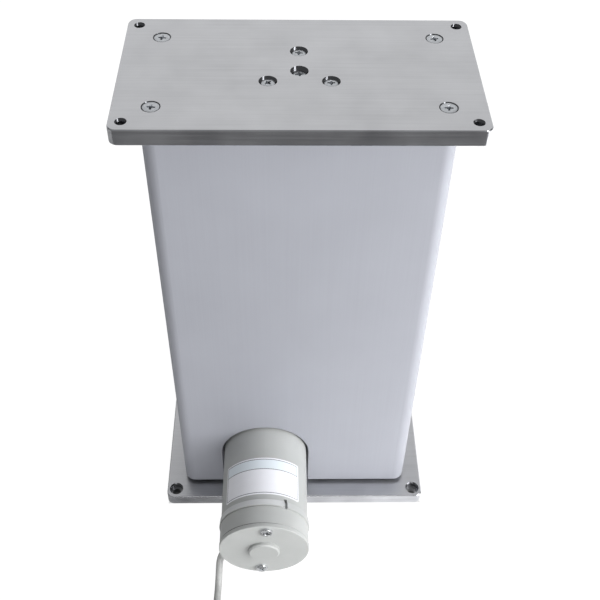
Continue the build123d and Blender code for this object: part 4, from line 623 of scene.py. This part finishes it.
tube_marks = {"Strength": 1.0, "Distance": DIE_LINE_HEIGHT * MM, "Height": tube_line}
tube_relief = add(tube_tree, "ShaderNodeBump", tube_marks)
feed(tube_tree, tube_shader, {"Metallic": TUBE_METALLIC, "Base Color": tube_tone})
feed(tube_tree, tube_shader, {"Roughness": tube_dull, "Normal": tube_relief})
dress(tube_anodised, "inner_tube", "outer_tube")

# Gear housing, its cover and the motor's flange: aluminium castings, left as cast but for their machined
# seats, bolted to the base plate inside the tubes.
# Cast aluminium: dull grey with a pebbled skin.
cast_aluminium = surface_finish(
    "cast_aluminium", "#8D9093", "#A6A9AC", grain=1.3, roughness=(0.48, 0.64), bump=0.06, metallic=1.0
)
dress(cast_aluminium, "gear_housing", "gear_housing_cover", "motor_flange")
dress(zinc_plate, "cover_screws", "motor_flange_screws", "spindle_stop_screw")

# Drive: a steel worm on the motor's shaft turns a bronze wheel keyed to the spindle, which runs in two
# ball bearings. The nut on the spindle carries the push tube.
# Turned and ground steel: bright, with rings too fine to show but as a soft sheen.
turned_steel = surface_finish(
    "turned_steel", "#8B8E92", "#A5A8AC", grain=0.5, roughness=(0.22, 0.34), bump=0.004, metallic=1.0
)
dress(turned_steel, "spindle", "wheel_key", "spindle_stop_washer", "motor_shaft", "worm")
dress(turned_steel, "push_tube", "push_tube_plug", "thrust_collar", "nut_pins")
# Gear bronze, hobbed: warm brown-yellow, a little dulled by grease.
wheel_bronze = surface_finish(
    "gear_bronze", "#9C7A3F", "#B8944F", grain=1.2, roughness=(0.28, 0.42), bump=0.006, metallic=1.0
)
dress(wheel_bronze, "worm_wheel")
# Hardened bearing steel, ground: the brightest steel here.
bearing_steel = surface_finish(
    "ground_bearing_steel", "#A4A7AA", "#BFC2C5", grain=0.6, roughness=(0.14, 0.24), bump=0.002, metallic=1.0
)
dress(bearing_steel, "lower_bearing_outer", "lower_bearing_inner")
dress(bearing_steel, "upper_bearing_outer", "upper_bearing_inner")
# Blued spring steel: dark, smooth and a little oily.
spring_steel = surface_finish(
    "blued_spring_steel", "#3C3F45", "#565A61", grain=0.8, roughness=(0.26, 0.40), bump=0.003, metallic=1.0
)
dress(spring_steel, "spindle_retainer", "brush_springs")
# Acetal, turned and moulded: milky white with a waxy gloss.
acetal = surface_finish("white_acetal", "#DAD9D3", "#E8E7E2", grain=2.0, roughness=(0.34, 0.46), bump=0.006)
dress(acetal, "spindle_nut", "upper_glides", "lower_glides")

# Limit sensing: a narrow circuit board up the back of the inner tube with a sensor at each end, and a
# magnet in a moulded holder on the push tube that passes them.
# Solder mask over glass board: deep green and glossy.
board_green = surface_finish(
    "green_circuit_board", "#14452B", "#1C5A38", grain=2.5, roughness=(0.28, 0.40), bump=0.01
)
dress(board_green, "sensor_board")
# Epoxy sensor bodies: matt black.
sensor_epoxy = surface_finish(
    "black_epoxy", "#101011", "#19191B", grain=0.8, roughness=(0.50, 0.64), bump=0.008
)
dress(sensor_epoxy, "limit_sensors")
dress(moulded_black, "magnet_holder")
# Sintered ferrite: charcoal, dry and finely gritty.
ferrite = surface_finish(
    "sintered_ferrite", "#242426", "#343437", grain=0.7, roughness=(0.60, 0.78), bump=0.02
)
dress(ferrite, "sensor_magnet", "motor_magnets")

# Motor insides: a slotted steel core with copper windings and a commutator on the shaft, two magnets, and
# carbon brushes in brass boxes on a board. The shaft runs in sintered bushes.
CORE_SHEETS = (30.0, 0.7, 30.0)
# Stacked core sheets: grey steel with the edges of the sheets, drawn coarse enough to show, across Y.
core_steel = surface_finish(
    "stacked_core_steel", "#5E6064", "#7A7C80", CORE_SHEETS, roughness=(0.36, 0.50), bump=0.02, metallic=1.0
)
dress(core_steel, "armature_core")
# Enamelled copper: deep orange-red, glossy.
copper = surface_finish(
    "enamelled_copper", "#8E4524", "#B4623A", grain=0.5, roughness=(0.24, 0.36), bump=0.03, metallic=1.0
)
dress(copper, "armature_windings", "commutator")
# Oil-filled sintered bronze: brown and matt.
sintered_bronze = surface_finish(
    "sintered_bronze", "#7A5F38", "#927549", grain=0.4, roughness=(0.50, 0.66), bump=0.01, metallic=1.0
)
dress(sintered_bronze, "motor_front_bush", "motor_rear_bush", "worm_end_bush")
# Brass sheet, pressed: clean yellow.
brass_sheet = surface_finish(
    "pressed_brass", "#B08F45", "#C9A95C", grain=1.5, roughness=(0.24, 0.36), bump=0.004, metallic=1.0
)
dress(brass_sheet, "brush_boxes")
# Graphite brushes: near black with a soft sheen.
carbon = surface_finish(
    "graphite_carbon", "#17171A", "#26262A", grain=0.5, roughness=(0.42, 0.60), bump=0.01
)
dress(carbon, "carbon_brushes")
# Paper laminate board: red-brown, cut edges a little fibrous.
phenolic = surface_finish(
    "brown_paper_laminate", "#54331C", "#6D4526", grain=1.6, roughness=(0.36, 0.50), bump=0.01
)
dress(phenolic, "brush_card")

# Motor case: a drawn steel tube and a pressed cover, held together by tie screws and sprayed in one warm
# light grey.
PAINT_PEEL = 1.6
PAINT_PEEL_HEIGHT = 0.02
PAINT_CLOUD = 22.0
PAINT_CLOUD_SPREAD = {"From Min": 0.35, "From Max": 0.65}
PAINT_TONES = ("#A4A6A5", "#A9ABAA")
PAINT_ROUGHNESS = (0.34, 0.46)
# Sprayed enamel: half gloss, with the low pebble of orange peel and a slow drift of tone.
motor_paint, paint_tree, paint_shader = new_finish("sprayed_warm_grey_paint")
paint_place = add(paint_tree, "ShaderNodeTexCoord").outputs["Object"]
paint_pebble = {"Vector": paint_place, "Scale": 1 / (PAINT_PEEL * MM), "Detail": 1.0}
paint_peel = add(paint_tree, "ShaderNodeTexNoise", paint_pebble)
paint_drift = {"Vector": paint_place, "Scale": 1 / (PAINT_CLOUD * MM), "Detail": 2.0}
paint_cloud = add(paint_tree, "ShaderNodeTexNoise", paint_drift)
paint_even = add(paint_tree, "ShaderNodeMapRange", {"Value": paint_cloud, **PAINT_CLOUD_SPREAD})
paint_tones = {0: paint_even, 6: linear(PAINT_TONES[0]), 7: linear(PAINT_TONES[1])}
paint_tone = add(paint_tree, "ShaderNodeMix", paint_tones, data_type="RGBA")
paint_dulls = {"Value": paint_peel, "To Min": PAINT_ROUGHNESS[0], "To Max": PAINT_ROUGHNESS[1]}
paint_dull = add(paint_tree, "ShaderNodeMapRange", paint_dulls)
paint_relief = add(paint_tree, "ShaderNodeBump", {"Distance": PAINT_PEEL_HEIGHT * MM, "Height": paint_peel})
feed(paint_tree, paint_shader, {"Base Color": paint_tone, "Roughness": paint_dull, "Normal": paint_relief})
dress(motor_paint, "motor_yoke", "motor_end_cover")

# Motor's end cap: die cast and sprayed with the case, but for a raised lip that is left bare and paler. The
# creases before the lip and at the cover are darkened with painted shade. All three marks fade towards the
# right, where the key light falls, and that fade is painted light.
CAP_LIP_L = 5.0
CAP_BARE_L = 4.4
CAP_CREASE = 0.35
CAP_BARE_LIT_FADE = (-14.0, -2.0)
CAP_CREASE_LIT_FADE = (-30.0, -8.0)
CAP_LIT_SIDE_SHARE = 0.15
CAP_BARE_COLOUR = "#C2C4C5"
CAP_LIP_CREASE_SHADE = "#868886"
CAP_COVER_CREASE_SHADE = "#6C6E6C"
cap_front_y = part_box("motor_end_cap")[0].y
cap_back_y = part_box("motor_yoke")[0].y
# Enamel as on the case, with a paler band where the casting is bare and a thin dark line of painted shade at
# each crease, all three faded towards the lit right as painted light.
cap_paint = motor_paint.copy()
cap_paint.name = "sprayed_paint_with_bare_lip"
cap_tree = cap_paint.node_tree
cap_shader = cap_tree.nodes["Principled BSDF"]
cap_place = add(cap_tree, "ShaderNodeTexCoord").outputs["Object"]
cap_axes = add(cap_tree, "ShaderNodeSeparateXYZ", {0: cap_place}).outputs
cap_tone = cap_shader.inputs["Base Color"].links[0].from_socket
# The lip's pale band and the painted shade at the two creases, each faded towards the lit right as painted
# light.
for band_y, band_reach, band_fade, band_colour in (
    (cap_back_y - CAP_BARE_L / 2 * MM, CAP_BARE_L / 2, CAP_BARE_LIT_FADE, CAP_BARE_COLOUR),
    (cap_back_y - CAP_LIP_L * MM, CAP_CREASE, CAP_CREASE_LIT_FADE, CAP_LIP_CREASE_SHADE),
    (cap_front_y, CAP_CREASE, CAP_CREASE_LIT_FADE, CAP_COVER_CREASE_SHADE),
):
    band_sizes = {0: cap_axes["Y"], 1: band_y, 2: band_reach * MM}
    band = add(cap_tree, "ShaderNodeMath", band_sizes, operation="COMPARE")
    fade_from, fade_to = (x * MM for x in band_fade)
    fade_sizes = {"From Min": fade_from, "From Max": fade_to, "To Min": 1.0, "To Max": CAP_LIT_SIDE_SHARE}
    fade = add(cap_tree, "ShaderNodeMapRange", {"Value": cap_axes["X"], **fade_sizes})
    band = add(cap_tree, "ShaderNodeMath", {0: band, 1: fade}, operation="MULTIPLY")
    band_tones = {0: band, 6: cap_tone, 7: linear(band_colour)}
    cap_tone = add(cap_tree, "ShaderNodeMix", band_tones, data_type="RGBA")
feed(cap_tree, cap_shader, {"Base Color": cap_tone})
dress(cap_paint, "motor_end_cap")

# Grommet: a rubber bush, moulded in one piece and pressed into the cap's wall, that the cable passes
# through.
# Moulded rubber: black and matt.
grommet_rubber = surface_finish(
    "black_rubber", "#0F0F10", "#18181A", grain=0.8, roughness=(0.58, 0.74), bump=0.02
)
dress(grommet_rubber, "cable_grommet")

# Motor's label: a white polyester sticker, printed with a frame and a pale header over a rule, laid on the
# top of the yoke.
LABEL_LONG = 60.0
LABEL_WIDE = 30.0
LABEL_FROM_END = 4.4
LABEL_TURN = 4.0
LABEL_THICK = 0.12
LABEL_CORNER = 1.2
LABEL_COLUMNS = 72
LABEL_SHARP = radians(40)
LABEL_FRAME_INSET = 1.3
LABEL_FRAME_LINE = 0.45
LABEL_HEADER = 8.0
FILM_CLOUD = 6.0
FILM_TONES = ("#E0E1E6", "#E6E7EC")
FILM_HEADER = "#D6DEE4"
FILM_INK = "#4A4E55"
FILM_ROUGHNESS = (0.30, 0.42)

yoke_low, yoke_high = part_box("motor_yoke")
yoke_axis = (yoke_low + yoke_high) / 2
yoke_r = (yoke_high.x - yoke_low.x) / 2
label_mesh = bpy.data.meshes.new("motor_label")
label_work = bmesh.new()
label_uv = label_work.loops.layers.uv.new("label")
label_middle_y = yoke_low.y + (LABEL_FROM_END + LABEL_WIDE / 2) * MM


def label_half_width(along):
    """Half the sticker's width at a place along it, less at its rounded corners."""
    into = abs(along) - (LABEL_LONG / 2 - LABEL_CORNER)
    if into <= 0:
        return LABEL_WIDE / 2
    return LABEL_WIDE / 2 - LABEL_CORNER + sqrt(max(LABEL_CORNER**2 - into**2, 0.0))


label_columns = []
for column in range(LABEL_COLUMNS + 1):
    along = -LABEL_LONG / 2 * cos(pi * column / LABEL_COLUMNS)
    turn = radians(90 + LABEL_TURN) - along * MM / yoke_r
    half = label_half_width(along)
    ring = []
    for lift, side in ((LABEL_THICK, -half), (LABEL_THICK, half), (0.0, half), (0.0, -half)):
        reach = yoke_r + lift * MM
        label_x = yoke_axis.x + reach * cos(turn)
        label_z = yoke_axis.z + reach * sin(turn)
        corner = label_work.verts.new((label_x, label_middle_y + side * MM, label_z))
        ring.append((corner, (along, side)))
    label_columns.append(ring)


def label_face(corners):
    """One face of the sticker, with its place on the sheet, in mm, as its UV map."""
    face = label_work.faces.new([vertex for vertex, _ in corners])
    for loop, (_, flat) in zip(face.loops, corners):
        loop[label_uv].uv = flat


for left, right in zip(label_columns, label_columns[1:]):
    for at in range(4):
        label_face((left[at], right[at], right[(at + 1) % 4], left[(at + 1) % 4]))
label_face(label_columns[0])
label_face(label_columns[-1][::-1])
bmesh.ops.recalc_face_normals(label_work, faces=label_work.faces)
label_work.to_mesh(label_mesh)
label_work.free()
label_mesh.shade_smooth()
label_mesh.set_sharp_from_angle(angle=LABEL_SHARP)
motor_label = new_piece("motor_label", label_mesh)

# Printed film: bright white, half gloss, with dark thin rules and a pale blue-grey header.
label_film, film_tree, film_shader = new_finish("printed_white_polyester")
film_flat = add(film_tree, "ShaderNodeUVMap", uv_map="label")
film_up = add(film_tree, "ShaderNodeSeparateXYZ", {0: film_flat}).outputs["Y"]
frame_corner = (LABEL_LONG / 2 - LABEL_FRAME_INSET, LABEL_WIDE / 2 - LABEL_FRAME_INSET, 0.0)
film_reach = add(film_tree, "ShaderNodeVectorMath", {0: film_flat}, operation="ABSOLUTE")
film_past = add(film_tree, "ShaderNodeVectorMath", {0: film_reach, 1: frame_corner}, operation="SUBTRACT")
film_past = add(film_tree, "ShaderNodeSeparateXYZ", {0: film_past}).outputs
film_out = add(film_tree, "ShaderNodeMath", {0: film_past["X"], 1: film_past["Y"]}, operation="MAXIMUM")
film_inside = add(film_tree, "ShaderNodeMath", {0: film_out, 1: 0.0}, operation="LESS_THAN")
frame_line = {0: film_out, 1: 0.0, 2: LABEL_FRAME_LINE / 2}
film_frame = add(film_tree, "ShaderNodeMath", frame_line, operation="COMPARE")
header_edge = frame_corner[1] - LABEL_HEADER
film_above = add(film_tree, "ShaderNodeMath", {0: film_up, 1: header_edge}, operation="GREATER_THAN")
film_header = add(film_tree, "ShaderNodeMath", {0: film_inside, 1: film_above}, operation="MULTIPLY")
header_line = {0: film_up, 1: header_edge, 2: LABEL_FRAME_LINE / 2}
film_rule = add(film_tree, "ShaderNodeMath", header_line, operation="COMPARE")
film_rule = add(film_tree, "ShaderNodeMath", {0: film_rule, 1: film_inside}, operation="MULTIPLY")
film_lines = add(film_tree, "ShaderNodeMath", {0: film_frame, 1: film_rule}, operation="MAXIMUM")
film_place = add(film_tree, "ShaderNodeTexCoord").outputs["Object"]
film_speck = add(film_tree, "ShaderNodeTexNoise", {"Vector": film_place, "Scale": 1 / (FILM_CLOUD * MM)})
film_whites = {0: film_speck, 6: linear(FILM_TONES[0]), 7: linear(FILM_TONES[1])}
film_white = add(film_tree, "ShaderNodeMix", film_whites, data_type="RGBA")
film_grounds = {0: film_header, 6: film_white, 7: linear(FILM_HEADER)}
film_ground = add(film_tree, "ShaderNodeMix", film_grounds, data_type="RGBA")
film_inks = {0: film_lines, 6: film_ground, 7: linear(FILM_INK)}
film_print = add(film_tree, "ShaderNodeMix", film_inks, data_type="RGBA")
film_dulls = {"Value": film_speck, "To Min": FILM_ROUGHNESS[0], "To Max": FILM_ROUGHNESS[1]}
film_dull = add(film_tree, "ShaderNodeMapRange", film_dulls)
feed(film_tree, film_shader, {"Base Color": film_print, "Roughness": film_dull})
label_mesh.materials.append(label_film)
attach(motor_label, "base")

# Tie screws: two pan heads on the motor's cover, drawn up through the case into the flange. Zinc-plated
# steel, cold headed, with a cross recess.
TIE_HEAD_D = 8.9 * MM
TIE_HEAD_H = 1.9 * MM
TIE_HEAD_SET = 0.7 * MM
TIE_SHANK_D = 4.0 * MM
TIE_EDGE = 1.1 * MM
# Zinc plate as on the plates' screws, but a whiter copy, which is painted light for these heads that face
# the dim front of the room, and sharper, so that they glint.
zinc_lit_copy = surface_finish(
    "zinc_plate_lit_copy", "#BFC1C4", "#DCDEE0", grain=0.9, roughness=(0.14, 0.24), bump=0.003, metallic=1.0
)
tie_low, tie_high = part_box("motor_tie_screws")
tie_inset = TIE_HEAD_D / 2
drive_screws(
    "motor_tie_screws",
    "base",
    [
        (tie_high.x - tie_inset, tie_low.y + TIE_HEAD_SET, tie_high.z - tie_inset),
        (tie_low.x + tie_inset, tie_low.y + TIE_HEAD_SET, tie_low.z + tie_inset),
    ],
    axis=(0, -1, 0),
    seed=4,
    finish=zinc_lit_copy,
    head_diameter=TIE_HEAD_D,
    head_height=TIE_HEAD_H,
    rim_height=TIE_HEAD_H,
    edge=TIE_EDGE,
    shank_diameter=TIE_SHANK_D,
    length=tie_high.y - tie_low.y - TIE_HEAD_SET,
)

# Top plate: the same milled plate as the base, turned over, with a mounting hole at each corner and a ring
# of sunk screws round a centre screw.
# Milled aluminium, as on the base: mid grey metal, its shine drawn out along the feed marks.
top_aluminium = milled_aluminium("milled_top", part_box("top_plate")[1])
dress(top_aluminium, "top_plate")

# Top plate's countersunk screws: four, zinc plated, driven into the corner ports of the outer tube. Their
# heads have a taller rim than those beneath the base and sit just below the surface.
TOP_RISE = 0.35 * MM
top_low, top_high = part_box("top_plate_screws")
drive_screws(
    "top_plate_screws",
    "lift",
    corners_of("top_plate_screws", PORT_HEAD_D, top_high.z + TOP_RISE),
    axis=(0, 0, 1),
    seed=2,
    head_diameter=PORT_HEAD_D,
    head_height=PORT_RIM + TOP_RISE + (PORT_HEAD_D - PORT_SHANK_D) / 2,
    rim_height=PORT_RIM + TOP_RISE,
    edge=PORT_EDGE,
    shank_diameter=PORT_SHANK_D,
    length=top_high.z - top_low.z + TOP_RISE,
)

# Crown and centre screws: three pan heads in a ring hold the thrust collar, and one in the middle holds the
# push tube's plug. All are zinc plated and sit sunk in the top plate, on heads taller than the plain ones.
CROWN_HEAD_D = 8.5 * MM
CROWN_HEAD_H = 3.2 * MM
CROWN_RISE = 0.7 * MM
CROWN_SHANK_D = 5.0 * MM
CROWN_ANGLES = (90, 210, 330)
CENTRE_HEAD_D = 9.0 * MM
CENTRE_HEAD_H = 2.5 * MM
CENTRE_RISE = 1.2 * MM
CENTRE_SHANK_D = 6.0 * MM
PAN_EDGE = 1.2 * MM
crown_low, crown_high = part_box("crown_screws")
crown_ring = crown_high.y - CROWN_HEAD_D / 2
crown_top = crown_high.z + CROWN_RISE
crown_turns = [radians(angle) for angle in CROWN_ANGLES]
drive_screws(
    "crown_screws",
    "lift",
    [(crown_ring * cos(turn), crown_ring * sin(turn), crown_top) for turn in crown_turns],
    axis=(0, 0, 1),
    seed=8,
    head_diameter=CROWN_HEAD_D,
    head_height=CROWN_HEAD_H + CROWN_RISE,
    rim_height=CROWN_HEAD_H + CROWN_RISE,
    edge=PAN_EDGE,
    shank_diameter=CROWN_SHANK_D,
    length=crown_top - crown_low.z,
)
centre_low, centre_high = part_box("centre_screw")
centre_top = centre_high.z + CENTRE_RISE
drive_screws(
    "centre_screw",
    "lift",
    [(0.0, 0.0, centre_top)],
    axis=(0, 0, 1),
    seed=9,
    head_diameter=CENTRE_HEAD_D,
    head_height=CENTRE_HEAD_H + CENTRE_RISE,
    rim_height=CENTRE_HEAD_H + CENTRE_RISE,
    edge=PAN_EDGE,
    shank_diameter=CENTRE_SHANK_D,
    length=centre_top - centre_low.z,
)
